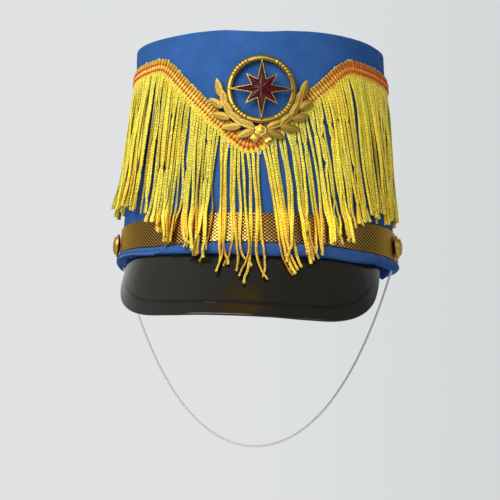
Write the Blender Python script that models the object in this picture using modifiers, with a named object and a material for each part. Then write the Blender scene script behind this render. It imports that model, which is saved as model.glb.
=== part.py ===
"""Shako hat: tapered cloth crown, V-shaped cord fringe, gold band, badge and glossy peak.

Metres, +Z up along the crown's axis, the front towards -Y and the wearer's left towards +X.
The origin is the middle of the head opening, level with the bottom of the hem.
Angles round the crown are measured from the front, growing towards +X.
"""

import math

import bmesh
import bpy
from mathutils import Matrix, Vector

MM = 0.001

# Crown: a cone of cloth-covered board with a sunk top
CROWN_FOOT_RADIUS = 94.5 * MM
CROWN_RIM_RADIUS = 84.8 * MM
CROWN_HEIGHT = 154.8 * MM
CROWN_WALL = 2.0 * MM
CROWN_START = 1.5 * MM          # lower edge of the wall, inside the hem's fold
RIM_DIP = 1.0 * MM              # the rim sags this much at the front
RIM_DIP_SPREAD = math.radians(18)
TOP_SINK = 5.0 * MM
TOP_THICKNESS = 2.0 * MM
SIDES = 60
GAP = 0.3 * MM                  # clearance between separate pieces

# Hem: a padded strip folded round the crown's lower edge
HEM_HEIGHT = 8.0 * MM
HEM_TURN_UP = 10.0 * MM
HEM_CLOTH = 1.0 * MM
HEM_BULGE_RADIUS = 97.0 * MM
HEM_BULGE_HEIGHT = 4.2 * MM
HEM_RISE = 4.5 * MM             # the lower edge is this much higher at the sides and back
HEM_RISE_START = math.radians(35)
HEM_RISE_END = math.radians(85)

# Gold band and its side buttons
BAND_BOTTOM = 8.3 * MM
BAND_WIDTH = 20.5 * MM
BAND_THICKNESS = 0.9 * MM
BAND_END = math.radians(94.0)
BAND_END_LIFT = 1.5 * MM
BAND_LIFT_START = math.radians(89.7)
BUTTON_ANGLE = math.radians(84.5)
BUTTON_RADIUS = 7.9 * MM
BUTTON_FOOT = 4.5 * MM          # radius of what touches the band, inside the rolled edge
BUTTON_BACK = 1.1 * MM          # the rolled edge stands this far off the band
BUTTON_EDGE = 2.0 * MM
BUTTON_DOME = 5.0 * MM
BUTTON_HEIGHT = BAND_BOTTOM + BAND_WIDTH / 2
POST_RADIUS = 1.0 * MM
POST_END = 0.8 * MM             # a post shows this much inside the crown

# Peak: radial sections from the hem to the free edge
PEAK_THICKNESS = 1.8 * MM
PEAK_FLANGE_TOP = 8.0 * MM
PEAK_ROOT_RADIUS = 95.2 * MM
PEAK_ROOT_END_RADIUS = 91.8 * MM
PEAK_ROOT_HEIGHT = -0.45 * MM
PEAK_ARCH = 2.0 * MM
PEAK_TURN = math.radians(-2.5)  # the peak is sewn in a little off centre
PEAK_SKEW = 0.095               # share of its drop by which one side hangs lower, the other higher
PEAK_STATIONS = 35
PEAK_ROWS = 6
#                angle  radius  drop     of the free edge, degrees and mm
PEAK_SECTIONS = ((0.0, 125.6, 43.2),
                 (11.0, 125.2, 43.2),
                 (22.0, 122.3, 43.2),
                 (33.3, 116.6, 41.6),
                 (44.3, 110.4, 36.0),
                 (55.2, 103.6, 25.5),
                 (63.5, 97.4, 12.0),
                 (69.5, 92.4, 1.0))

# Fringe: a braid header with locks of cords hanging from it
BRAID_WIDTH = 11.4 * MM
BRAID_THICKNESS = 1.8 * MM
BRAID_EASE = math.radians(4.5)  # half the stretch over which a corner is rounded
#                angle   height   of the braid's centre line, degrees and mm, corners still sharp
BRAID_LINE = ((-180.0, 132.3),
              (-85.0, 132.0),
              (-43.5, 132.8),
              (0.0, 70.4),
              (46.0, 132.8),
              (90.0, 129.6),
              (180.0, 132.3))
LOCK_COUNT = 64
LOCK_UNEVEN = 4.0 * MM
LOCK_THICKNESS = 1.5 * MM
LOCK_CLEAR = 0.45 * MM          # the cords' backs hang this far off what is behind them
LOCK_ROOT = 3.0 * MM            # overlap with the braid
LOCK_FILL = 0.84                # share of the pitch that a lock fills at its root
LOCK_TIP_FILL = 0.70
#              angle  length  lean  flare    how far the tips swing along and off the crown,
#                                            degrees and mm
LOCK_SWING = ((-180.0, 88.0, 0.0, 1.0),
              (-100.0, 88.0, 0.0, 4.0),
              (-75.0, 89.0, -2.0, 6.5),
              (-50.0, 92.0, -2.5, 5.0),
              (-12.0, 87.0, -2.5, 0.3),
              (12.0, 87.0, 5.0, 0.3),
              (50.0, 92.0, 7.0, 1.0),
              (75.0, 89.0, 7.0, 2.0),
              (100.0, 88.0, 3.0, 2.0),
              (180.0, 88.0, 0.0, 1.0))

# Badge: an open ring with two leafy sprays, standing on the braid
BADGE_ANGLE = math.radians(4.7)
BADGE_HEIGHT = 112.0 * MM
BADGE_STAND_OFF = 2.5 * MM
BADGE_BEND_RADIUS = 90.0 * MM
RING_OUTER = 23.5 * MM
RING_INNER = 19.4 * MM
RING_THICKNESS = 2.2 * MM
RING_SIDES = 40
LEAF_WIDTH = 5.6 * MM
LEAF_THICKNESS = 1.5 * MM
#          along  out   turn  length   a leaf's foot on the spray's arc, degrees, mm, degrees, mm
SPRAY = ((9.0, -0.8, -20.0, 12.0),
         (9.0, 0.8, 34.0, 12.5),
         (27.0, -0.8, -18.0, 12.5),
         (27.0, 0.8, 32.0, 13.0),
         (46.0, -0.8, -18.0, 12.5),
         (46.0, 0.8, 30.0, 12.5),
         (64.0, -0.8, -16.0, 12.0),
         (64.0, 0.8, 28.0, 11.5),
         (80.0, 0.0, 4.0, 13.0))
SPRAY_RADIUS = 27.6 * MM
SPRAY_STEM = 0.9 * MM
KNOT_HEIGHT = -28.5 * MM
KNOT_RADIUS = 5.0 * MM
KNOT_THICKNESS = 3.0 * MM
TAIL_LENGTH = 9.5 * MM
TAIL_WIDTH = 5.0 * MM
TAIL_SPREAD = math.radians(38)
STAR_LONG = 21.7 * MM
STAR_SHORT = 15.0 * MM
STAR_WAIST = 7.2 * MM
STAR_EDGE = 0.8 * MM
STAR_PEAK = 2.6 * MM

# Chin elastic: hangs from the hem's underside, in a plane across the hat
ELASTIC_RADIUS = 0.75 * MM
ELASTIC_PLANE = -2.5 * MM
#                 across  height   one half of the hanging line, in mm
ELASTIC_ROUTE = ((92.2, 4.2),
                 (88.3, -8.6),
                 (84.0, -21.6),
                 (79.5, -33.8),
                 (74.5, -46.0),
                 (68.5, -59.0),
                 (61.5, -71.9),
                 (53.5, -84.2),
                 (45.0, -94.8),
                 (36.0, -103.4),
                 (27.0, -109.9),
                 (18.0, -114.3),
                 (9.0, -116.9),
                 (0.0, -117.8))

# Hem tab: an end of cloth beside the elastic
#       height  inner  outer  forward   mm, across from the axis
HEM_TAB = ((10.5, 82.8, 88.9, 12.0),
           (5.0, 81.4, 89.5, 12.4),
           (2.0, 81.4, 91.0, 13.0),
           (-2.0, 83.6, 89.2, 13.2),
           (-4.1, 85.2, 86.6, 13.0))
HEM_TAB_THICKNESS = 1.0 * MM


def start_clean():
    """Empties the scene and makes the collections for the parts and for their helpers."""
    for item in list(bpy.data.objects):
        bpy.data.objects.remove(item, do_unlink=True)
    collections = []
    for name in ("Shako hat", "Cutters"):
        collection = bpy.data.collections.new(name)
        bpy.context.scene.collection.children.link(collection)
        collections.append(collection)
    return collections


PARTS, CUTTERS = start_clean()


def finish(name, colour, roughness, metallic=0.0):
    """A Principled material."""
    made = bpy.data.materials.new(name)
    made.use_nodes = True
    shader = made.node_tree.nodes["Principled BSDF"]
    shader.inputs["Base Color"].default_value = (*colour, 1.0)
    shader.inputs["Roughness"].default_value = roughness
    shader.inputs["Metallic"].default_value = metallic
    made.diffuse_color = (*colour, 1.0)
    return made


BLUE_TWILL = finish("Blue twill", (0.035, 0.13, 0.46), 0.75)
GOLD_BAND = finish("Gold foil band", (0.62, 0.42, 0.13), 0.32, 1.0)
GOLD_METAL = finish("Gold plated metal", (0.78, 0.56, 0.16), 0.28, 1.0)
BLACK_GLOSS = finish("Black moulded plastic", (0.012, 0.012, 0.013), 0.16)
YELLOW_CORD = finish("Yellow rayon cord", (0.86, 0.62, 0.07), 0.55)
RED_ENAMEL = finish("Red enamel", (0.22, 0.012, 0.016), 0.12)
WHITE_ELASTIC = finish("White elastic", (0.78, 0.78, 0.77), 0.6)


def add_part(name, mesh, material):
    """A named sub-part."""
    part = bpy.data.objects.new(name, mesh)
    mesh.materials.clear()
    mesh.materials.append(material)
    PARTS.objects.link(part)
    return part


def add_helper(name, mesh):
    """A solid that only cuts or joins others."""
    helper = bpy.data.objects.new(name, mesh)
    helper.hide_render = True
    helper.display_type = "WIRE"
    CUTTERS.objects.link(helper)
    return helper


def apply_modifiers(part):
    """Turns what the modifiers make into the object's own mesh."""
    bpy.context.view_layer.update()
    graph = bpy.context.evaluated_depsgraph_get()
    made = bpy.data.meshes.new_from_object(part.evaluated_get(graph))
    part.modifiers.clear()
    part.data = made


def turned(profile, steps, closed):
    """A mesh that holds a profile, and the settings that turn it about Z."""
    count = len(profile)
    edges = [(i, i + 1) for i in range(count - 1)]
    if closed:
        edges.append((count - 1, 0))
    mesh = bpy.data.meshes.new("profile")
    mesh.from_pydata([(radius, 0.0, height) for radius, height in profile], edges, [])
    return mesh, {"steps": steps, "render_steps": steps, "merge_threshold": 0.00001,
                  "use_merge_vertices": True, "use_smooth_shade": True}


def turn(part, settings):
    """Adds the Screw modifier of a turned shape."""
    screw = part.modifiers.new("Turn", "SCREW")
    for name, value in settings.items():
        setattr(screw, name, value)


def sheet(rows):
    """An open surface through rows of points."""
    work = bmesh.new()
    grid = [[work.verts.new(point) for point in row] for row in rows]
    for upper, lower in zip(grid, grid[1:]):
        for i in range(len(upper) - 1):
            work.faces.new((upper[i], lower[i], lower[i + 1], upper[i + 1]))
    mesh = bpy.data.meshes.new("sheet")
    work.to_mesh(mesh)
    work.free()
    return mesh


def loft_into(work, sections, loop=False):
    """Joins rings of points into a closed body, capped unless the rings form a loop."""
    rings = [[work.verts.new(point) for point in ring] for ring in sections]
    pairs = list(zip(rings, rings[1:]))
    if loop:
        pairs.append((rings[-1], rings[0]))
    faces = []
    for one, other in pairs:
        for i in range(len(one)):
            j = (i + 1) % len(one)
            faces.append(work.faces.new((one[i], one[j], other[j], other[i])))
    if not loop:
        faces.append(work.faces.new(rings[0][::-1]))
        faces.append(work.faces.new(rings[-1]))
    bmesh.ops.recalc_face_normals(work, faces=faces)


def solid_mesh(name, bodies, loop=False):
    """One mesh of lofted bodies."""
    work = bmesh.new()
    for sections in bodies:
        loft_into(work, sections, loop)
    mesh = bpy.data.meshes.new(name)
    work.to_mesh(mesh)
    work.free()
    return mesh


def table_line(rows, key, column=1):
    """Straight-line value of one column of a table, whose first column is the key."""
    for low, high in zip(rows, rows[1:]):
        if key <= high[0]:
            return low[column] + (high[column] - low[column]) * (key - low[0]) / (high[0] - low[0])
    return rows[-1][column]


def table_curve(rows, key, column):
    """Smooth value of one column of a table, whose first column is the key."""
    keys = [row[0] for row in rows]
    values = [row[column] for row in rows]
    last = len(rows) - 1
    i = min(max(sum(key >= k for k in keys) - 1, 0), last - 1)
    span = keys[i + 1] - keys[i]

    def slope(n):
        before, after = max(n - 1, 0), min(n + 1, last)
        return (values[after] - values[before]) / (keys[after] - keys[before])

    t = (key - keys[i]) / span
    start = slope(i) if i > 0 else 0.0
    end = slope(i + 1)
    return ((2 * t ** 3 - 3 * t ** 2 + 1) * values[i] + (t ** 3 - 2 * t ** 2 + t) * span * start
            + (3 * t ** 2 - 2 * t ** 3) * values[i + 1] + (t ** 3 - t ** 2) * span * end)


def smooth_step(value):
    """0 to 1 with soft ends."""
    value = min(max(value, 0.0), 1.0)
    return value * value * (3 - 2 * value)


def crown_radius(height):
    """Outer radius of the crown at a height."""
    return CROWN_FOOT_RADIUS + (CROWN_RIM_RADIUS - CROWN_FOOT_RADIUS) * height / CROWN_HEIGHT


def polar(angle, radius, height):
    """A point at an angle from the front."""
    return Vector((radius * math.sin(angle), -radius * math.cos(angle), height))


def foot_rise(angle, height=0.0):
    """How far the foot has risen at an angle; this fades out at the band's upper edge."""
    turned_by = (abs(angle) - HEM_RISE_START) / (HEM_RISE_END - HEM_RISE_START)
    left_over = max(1 - height / (BAND_BOTTOM + BAND_WIDTH), 0.0)
    return HEM_RISE * smooth_step(turned_by) * left_over


def raise_foot(part):
    """Lifts what lies near the crown's foot up the cone, with the hem's lower edge."""
    for vertex in part.data.vertices:
        x, y, height = vertex.co
        rise = foot_rise(math.atan2(x, -y), height)
        radius = math.hypot(x, y)
        narrowed = (radius + crown_radius(height + rise) - crown_radius(height)) / radius
        vertex.co = (x * narrowed, y * narrowed, height + rise)


def post_hole(wall, name, angle, height):
    """Bores a clearance hole through a wall of the crown for a fastening post."""
    work = bmesh.new()
    bmesh.ops.create_cone(work, cap_ends=True, segments=12, radius1=POST_RADIUS + GAP,
                          radius2=POST_RADIUS + GAP, depth=16 * MM)
    mesh = bpy.data.meshes.new(name)
    work.to_mesh(mesh)
    work.free()
    cutter = add_helper(name, mesh)
    cutter.matrix_world = facing_out(angle, crown_radius(height), height)
    cut = wall.modifiers.new(name, "BOOLEAN")
    cut.operation = "DIFFERENCE"
    cut.solver = "EXACT"
    cut.object = cutter


def facing_out(angle, radius, height):
    """Frame on the crown's surface whose Z points straight out of the cone."""
    taper = math.atan2(CROWN_FOOT_RADIUS - CROWN_RIM_RADIUS, CROWN_HEIGHT)
    place = Matrix.Translation(polar(angle, radius, height))
    return place @ Matrix.Rotation(angle, 4, "Z") @ Matrix.Rotation(math.pi / 2 - taper, 4, "X")


def make_crown_wall():
    """Tapered tube; its rim dips a little at the front."""
    rim_round = 0.5 * MM
    outer_heights = (CROWN_HEIGHT - rim_round, BAND_BOTTOM + BAND_WIDTH, CROWN_START)
    profile = [(crown_radius(CROWN_HEIGHT) - rim_round, CROWN_HEIGHT)]
    profile += [(crown_radius(height), height) for height in outer_heights]
    profile += [(crown_radius(height) - CROWN_WALL, height) for height in outer_heights[::-1]]
    profile += [(crown_radius(CROWN_HEIGHT) - CROWN_WALL + rim_round, CROWN_HEIGHT)]
    mesh, settings = turned(profile, SIDES, closed=True)
    wall = add_part("crown_wall", mesh, BLUE_TWILL)
    turn(wall, settings)
    apply_modifiers(wall)
    for vertex in wall.data.vertices:
        if vertex.co.z > CROWN_HEIGHT * 0.9:
            angle = math.atan2(vertex.co.x, -vertex.co.y)
            vertex.co.z -= RIM_DIP * math.exp(-(angle / RIM_DIP_SPREAD) ** 2)
    raise_foot(wall)
    post_hole(wall, "left_button_hole", BUTTON_ANGLE, BUTTON_HEIGHT)
    post_hole(wall, "right_button_hole", -BUTTON_ANGLE, BUTTON_HEIGHT)
    post_hole(wall, "badge_hole", BADGE_ANGLE, BADGE_HEIGHT - (RING_OUTER + RING_INNER) / 2)


def make_crown_top():
    """Flat disc held inside the wall, sunk below the rim."""
    upper = CROWN_HEIGHT - TOP_SINK
    lower = upper - TOP_THICKNESS
    radius = crown_radius(upper) - CROWN_WALL - GAP
    profile = [(0.0, upper), (radius, upper), (radius, lower), (0.0, lower)]
    mesh, settings = turned(profile, SIDES, closed=False)
    turn(add_part("crown_top", mesh, BLUE_TWILL), settings)


def make_hem_binding():
    """Channel of padded cloth that wraps the wall's lower edge."""
    def outer_face(height):
        return crown_radius(height) + GAP

    def inner_face(height):
        return crown_radius(height) - CROWN_WALL - GAP

    web = CROWN_START - GAP
    corner = 0.6 * MM
    profile = [(outer_face(HEM_HEIGHT) + HEM_CLOTH, HEM_HEIGHT),
               (HEM_BULGE_RADIUS - corner, HEM_HEIGHT - 1.6 * MM),
               (HEM_BULGE_RADIUS, HEM_BULGE_HEIGHT),
               (HEM_BULGE_RADIUS - 0.5 * corner, 1.6 * MM),
               (HEM_BULGE_RADIUS - 2.5 * corner, 0.0),
               (inner_face(web) - HEM_CLOTH + corner, 0.0),
               (inner_face(web) - HEM_CLOTH, corner),
               (inner_face(HEM_TURN_UP) - HEM_CLOTH, HEM_TURN_UP),
               (inner_face(HEM_TURN_UP), HEM_TURN_UP),
               (inner_face(web), web),
               (outer_face(web), web),
               (outer_face(HEM_HEIGHT), HEM_HEIGHT)]
    mesh, settings = turned(profile, SIDES, closed=True)
    hem = add_part("hem_binding", mesh, BLUE_TWILL)
    turn(hem, settings)
    apply_modifiers(hem)
    raise_foot(hem)


def make_gold_band():
    """Strip round the front that springs away a little past the buttons."""
    stations = 44
    angles = [BAND_END * (2 * i / stations - 1) for i in range(stations + 1)]
    rows = []
    for height in (BAND_BOTTOM + BAND_WIDTH, BAND_BOTTOM):
        row = []
        for angle in angles:
            lift = smooth_step((abs(angle) - BAND_LIFT_START) / (BAND_END - BAND_LIFT_START))
            row.append(polar(angle, crown_radius(height) + GAP + BAND_END_LIFT * lift, height))
        rows.append(row)
    band = add_part("gold_band", sheet(rows), GOLD_BAND)
    raise_foot(band)
    shell = band.modifiers.new("Thickness", "SOLIDIFY")
    shell.thickness = BAND_THICKNESS
    shell.offset = 1.0
    post_hole(band, "left_band_hole", BUTTON_ANGLE, BUTTON_HEIGHT)
    post_hole(band, "right_band_hole", -BUTTON_ANGLE, BUTTON_HEIGHT)


def make_buttons():
    """Domed buttons with a rolled edge and a plain post through band and wall."""
    post = 2 * GAP + BAND_THICKNESS + CROWN_WALL + POST_END
    rise = BUTTON_DOME - BUTTON_EDGE
    dome = [(BUTTON_RADIUS * 0.86 * math.sin(a), BUTTON_EDGE + rise * math.cos(a))
            for a in (math.radians(degrees) for degrees in (0, 28, 52, 74, 90))]
    profile = dome + [(BUTTON_RADIUS * 0.93, BUTTON_EDGE + 0.5 * MM),
                      (BUTTON_RADIUS, BUTTON_EDGE),
                      (BUTTON_RADIUS, BUTTON_BACK),
                      (BUTTON_FOOT, 0.0),
                      (POST_RADIUS, 0.0),
                      (POST_RADIUS, -post),
                      (0.0, -post)]
    seat = crown_radius(BUTTON_HEIGHT) + 2 * GAP + BAND_THICKNESS
    for name, side in (("button_left", 1), ("button_right", -1)):
        mesh, settings = turned(profile, 20, closed=False)
        button = add_part(name, mesh, GOLD_METAL)
        button.matrix_world = facing_out(side * BUTTON_ANGLE, seat, BUTTON_HEIGHT)
        turn(button, settings)


def peak_edge(angle):
    """Radius and height of the peak's free edge, at an angle from its own middle."""
    degrees = min(math.degrees(abs(angle)), PEAK_SECTIONS[-1][0])
    drop = table_curve(PEAK_SECTIONS, degrees, 2) * (1 + PEAK_SKEW * math.sin(angle))
    return (table_curve(PEAK_SECTIONS, degrees, 1) * MM, -drop * MM)


def peak_root(angle):
    """Radius at which the blade starts, drawn in towards the peak's two ends."""
    end = math.radians(PEAK_SECTIONS[-1][0])
    share = smooth_step(2.5 * abs(angle) / end - 1.5)
    return PEAK_ROOT_RADIUS + (PEAK_ROOT_END_RADIUS - PEAK_ROOT_RADIUS) * share


def peak_height(angle, radius):
    """Height of the peak's upper face below the hem, at an angle from its own middle."""
    root = peak_root(angle)
    edge_radius, edge_height = peak_edge(angle)
    t = (radius - root) / (edge_radius - root)
    arch = PEAK_ARCH * edge_height / -PEAK_SECTIONS[0][2] / MM
    start = PEAK_ROOT_HEIGHT + foot_rise(angle)
    return start + (edge_height - start) * t + 4 * arch * t * (1 - t)


def make_peak():
    """Moulded visor: flange inside the hem, a shoulder under it, then the sloping blade."""
    end = math.radians(PEAK_SECTIONS[-1][0])
    inset = CROWN_WALL + 2 * GAP + HEM_CLOTH
    columns = []
    for i in range(PEAK_STATIONS):
        angle = end * (1 - 2 * i / (PEAK_STATIONS - 1))
        column = [polar(angle, crown_radius(height) - inset, height)
                  for height in (PEAK_FLANGE_TOP, foot_rise(angle) - GAP)]
        root, edge = peak_root(angle), peak_edge(angle)[0]
        for row in range(PEAK_ROWS):
            radius = root + (edge - root) * row / (PEAK_ROWS - 1)
            column.append(polar(angle, radius, peak_height(angle, radius)))
        columns.append(column)
    peak = add_part("peak", sheet(columns), BLACK_GLOSS)
    shell = peak.modifiers.new("Thickness", "SOLIDIFY")
    shell.thickness = PEAK_THICKNESS
    shell.offset = -1.0
    shell.use_even_offset = True
    peak.rotation_euler.z = PEAK_TURN


def braid_height(angle):
    """Height of the braid's centre line, with its corners rounded off."""
    samples = 9
    total = 0.0
    for i in range(samples):
        degrees = math.degrees(angle + BRAID_EASE * (2 * i / (samples - 1) - 1))
        degrees = (degrees + 180.0) % 360.0 - 180.0
        total += table_line(BRAID_LINE, degrees)
    return total / samples * MM


def braid_normal(angle):
    """Unit direction across the braid, in arc length and height, pointing up."""
    step = math.radians(0.5)
    rise = braid_height(angle + step) - braid_height(angle - step)
    run = 2 * step * crown_radius(braid_height(angle))
    return Vector((-rise, run)).normalized()


def braid_point(angle, across, stand_off):
    """A point of the braid at a distance across it."""
    height = braid_height(angle)
    normal = braid_normal(angle)
    radius = crown_radius(height)
    side = angle + across * normal.x / radius
    level = height + across * normal.y
    return polar(side, crown_radius(level) + stand_off, level)


def braid_lower_edge(angle):
    """Height of the braid's lower edge at an angle."""
    return braid_height(angle) - BRAID_WIDTH / 2 / braid_normal(angle).y


def braid_stations():
    """Angles round the braid, closer together at its three corners."""
    corners = (-45.0, 0.0, 46.0)
    angles = []
    degrees = -180.0
    while degrees < 179.0:
        angles.append(math.radians(degrees))
        near = min(abs(degrees - corner) for corner in corners)
        degrees += 1.5 if near < 7.5 else 4.5
    return angles


def hanging_line(angle, start):
    """Radius and height of the cords' backs at an angle, from the braid down to the peak."""
    band_top = BAND_BOTTOM + BAND_WIDTH
    over_band = GAP + BAND_THICKNESS + LOCK_CLEAR
    over_hem = HEM_BULGE_RADIUS + 1.8 * LOCK_CLEAR
    line = [(crown_radius(start) + LOCK_CLEAR, start)]
    for height, stand_off in ((band_top + 16 * MM, LOCK_CLEAR), (band_top + 2 * MM, over_band),
                              (HEM_HEIGHT + 3 * MM, over_band)):
        line.append((crown_radius(height) + stand_off, height))
    line.append((over_hem, HEM_HEIGHT - 1.5 * MM))
    lift = LOCK_CLEAR * 2.2
    for out in (0.0, 6 * MM, 13 * MM, 20 * MM):
        line.append((over_hem + out, peak_height(angle - PEAK_TURN, over_hem + out) + lift))
    return line


def distances(line):
    """Distance of each point of a line from its start."""
    found = [0.0]
    for (r0, z0), (r1, z1) in zip(line, line[1:]):
        found.append(found[-1] + math.hypot(r1 - r0, z1 - z0))
    return found


def along(line, distance):
    """Point and outward direction at a distance down a line."""
    marks = distances(line)
    i = min(max(sum(distance >= mark for mark in marks) - 1, 0), len(line) - 2)
    (r0, z0), (r1, z1) = line[i], line[i + 1]
    t = (distance - marks[i]) / (marks[i + 1] - marks[i])
    tangent = Vector((r1 - r0, z1 - z0)).normalized()
    if i > 0 and t < 0.01:
        earlier = Vector((r0 - line[i - 1][0], z0 - line[i - 1][1])).normalized()
        tangent = (tangent + earlier).normalized()
    return Vector((r0 + (r1 - r0) * t, z0 + (z1 - z0) * t)), Vector((-tangent.y, tangent.x))


def lock_sections(left, right, length):
    """Rings of a lock between two angles of the braid."""
    middle = (left + right) / 2
    lean, flare = (table_line(LOCK_SWING, math.degrees(middle), column) * MM for column in (2, 3))
    lines = {}
    for angle in (left, middle, right):
        lines[angle] = hanging_line(angle, braid_lower_edge(angle) + LOCK_ROOT)
    spare = 3 * MM
    used = [i for i, mark in enumerate(distances(lines[middle])) if 0 < i and mark < length - spare]
    sections = []
    for stage in ["root"] + used + ["tip"]:
        ring = []
        for angle, side in ((left, -1), (right, 1)):
            line = lines[angle]
            distance = {"root": 0.0, "tip": length}.get(stage)
            if distance is None:
                distance = distances(line)[stage]
            place, outward = along(line, distance)
            share = distance / length
            place.x += flare * share ** 1.5
            fill = LOCK_FILL + (LOCK_TIP_FILL - LOCK_FILL) * share
            spot = middle + (angle - middle) * fill + lean * share ** 1.5 / place.x
            outer = place + outward * LOCK_THICKNESS
            pair = [polar(spot, place.x, place.y), polar(spot, outer.x, outer.y)]
            ring += pair if side < 0 else pair[::-1]
        sections.append(ring)
    return sections


def lock_edges():
    """Angles that share the braid's length out equally among the locks."""
    fine = 720
    angles = [math.pi * (2 * i / fine - 1) for i in range(fine + 1)]
    marks = [0.0]
    for one, other in zip(angles, angles[1:]):
        run = (other - one) * crown_radius(braid_height(one))
        marks.append(marks[-1] + math.hypot(run, braid_height(other) - braid_height(one)))
    edges = []
    for k in range(LOCK_COUNT + 1):
        target = marks[-1] * k / LOCK_COUNT
        i = min(sum(mark < target for mark in marks), fine)
        edges.append(angles[i])
    return edges


def make_fringe():
    """Braid header in one loop, with the locks fused to it."""
    inner, outer = GAP, GAP + BRAID_THICKNESS
    half = BRAID_WIDTH / 2
    rings = []
    for angle in braid_stations():
        rings.append([braid_point(angle, across, stand_off) for across, stand_off in
                      ((half, inner), (half, outer), (-half, outer), (-half, inner))])
    fringe = add_part("fringe", solid_mesh("fringe", [rings], loop=True), YELLOW_CORD)
    edges = lock_edges()
    bodies = []
    for k, (left, right) in enumerate(zip(edges, edges[1:])):
        length = table_line(LOCK_SWING, math.degrees((left + right) / 2), 1) * MM
        length += LOCK_ROOT + LOCK_UNEVEN * math.sin(2.4 * k) * math.cos(0.9 * k)
        bodies.append(lock_sections(left, right, length))
    locks = add_helper("fringe_locks", solid_mesh("fringe_locks", bodies))
    join = fringe.modifiers.new("Locks", "BOOLEAN")
    join.operation = "UNION"
    join.solver = "EXACT"
    join.object = locks


def leaf_sections(length, width, thickness, lift):
    """Rings of a pointed leaf along +Y from its foot, with a raised midrib."""
    sections = []
    for share, spread in ((0.0, 0.14), (0.22, 0.78), (0.5, 1.0), (0.78, 0.66), (1.0, 0.06)):
        half = width / 2 * spread
        rib = lift + thickness * (0.55 + 0.45 * spread)
        edge = lift + thickness * 0.45
        y = length * share
        sections.append([Vector((-half, y, lift)), Vector((half, y, lift)), Vector((half, y, edge)),
                         Vector((0.0, y, rib)), Vector((-half, y, edge))])
    return sections


def placed(sections, frame):
    """Rings moved by a frame."""
    return [[frame @ point for point in ring] for ring in sections]


def spray_bodies(side):
    """Leaves and stem of one spray, in the badge's flat plane."""
    mirror = Matrix.Diagonal((side, 1.0, 1.0, 1.0))
    bodies = []
    for i, (along_arc, out, turned_out, length) in enumerate(SPRAY):
        arc = math.radians(along_arc)
        foot = Vector((math.sin(arc), -math.cos(arc), 0.0)) * (SPRAY_RADIUS + out * MM)
        heading = Matrix.Rotation(arc - math.pi / 2 - math.radians(turned_out), 4, "Z")
        lift = 0.12 * MM * (1 + i % 5)
        leaf = leaf_sections(length * MM, LEAF_WIDTH, LEAF_THICKNESS, lift)
        bodies.append(placed(leaf, mirror @ Matrix.Translation(foot) @ heading))
    rings = []
    for step in range(10):
        arc = math.radians(4 + 8.8 * step)
        middle = Vector((math.sin(arc), -math.cos(arc), 0.0))
        ring = []
        for across, high in ((-1, 0.05), (1, 0.05), (1, 1.2), (-1, 1.2)):
            ring.append(middle * (SPRAY_RADIUS + across * SPRAY_STEM) + Vector((0, 0, high * MM)))
        rings.append(ring)
    bodies.append(placed(rings, mirror))
    return bodies


def tail_body(side):
    """One tail of the knot's ribbon."""
    width, length = TAIL_WIDTH / 2, TAIL_LENGTH
    rings = []
    for share, spread in ((0.0, 0.55), (0.6, 1.0), (1.0, 1.1)):
        y = -length * share
        rings.append([Vector((x * spread, y, z)) for x, z in
                      ((-width, 0.2 * MM), (width, 0.2 * MM), (width, 1.7 * MM), (-width, 1.7 * MM))])
    frame = Matrix.Translation((0.0, KNOT_HEIGHT, 0.0)) @ Matrix.Rotation(side * TAIL_SPREAD, 4, "Z")
    return placed(rings, frame)


def round_helper(name, profile, steps, place):
    """A turned solid that is joined to the badge."""
    mesh, settings = turned(profile, steps, closed=False)
    helper = add_helper(name, mesh)
    helper.location = place
    turn(helper, settings)
    return helper


def wrap_on_crown(part, lift):
    """Bends a flat piece round the crown, its back standing off the cloth."""
    for vertex in part.data.vertices:
        across, up, out = vertex.co
        height = BADGE_HEIGHT + up
        angle = BADGE_ANGLE + across / BADGE_BEND_RADIUS
        vertex.co = polar(angle, crown_radius(height) + BADGE_STAND_OFF + lift + out, height)
    part.data.update()


def make_cap_badge():
    """Open ring, two sprays and a knot in one piece of metal, with a post through the wall."""
    middle = (RING_OUTER + RING_INNER) / 2
    half = (RING_OUTER - RING_INNER) / 2
    profile = [(middle + half, RING_THICKNESS * 0.45),
               (middle + half, 0.0),
               (middle - half, 0.0),
               (middle - half, RING_THICKNESS * 0.45),
               (middle - half * 0.6, RING_THICKNESS),
               (middle + half * 0.6, RING_THICKNESS)]
    mesh, settings = turned(profile, RING_SIDES, closed=True)
    badge = add_part("cap_badge", mesh, GOLD_METAL)
    turn(badge, settings)
    helpers = []
    bodies = spray_bodies(-1) + spray_bodies(1) + [tail_body(-1), tail_body(1)]
    for i, body in enumerate(bodies):
        helpers.append(add_helper(f"badge_relief_{i}", solid_mesh("badge_relief", [body])))
    boss = [(0.0, KNOT_THICKNESS), (KNOT_RADIUS * 0.55, KNOT_THICKNESS * 0.9),
            (KNOT_RADIUS * 0.9, KNOT_THICKNESS * 0.65), (KNOT_RADIUS, 0.35 * MM), (0.0, 0.35 * MM)]
    helpers.append(round_helper("badge_knot", boss, 14, (0.0, KNOT_HEIGHT, 0.0)))
    reach = BADGE_STAND_OFF + CROWN_WALL + POST_END
    post = [(0.0, 0.8 * MM), (POST_RADIUS, 0.8 * MM), (POST_RADIUS, -reach), (0.0, -reach)]
    helpers.append(round_helper("badge_post", post, 12, (0.0, -middle, 0.0)))
    for helper in helpers:
        join = badge.modifiers.new(helper.name, "BOOLEAN")
        join.operation = "UNION"
        join.solver = "EXACT"
        join.object = helper
    apply_modifiers(badge)
    for helper in helpers:
        bpy.data.objects.remove(helper, do_unlink=True)
    wrap_on_crown(badge, 0.0)


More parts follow.
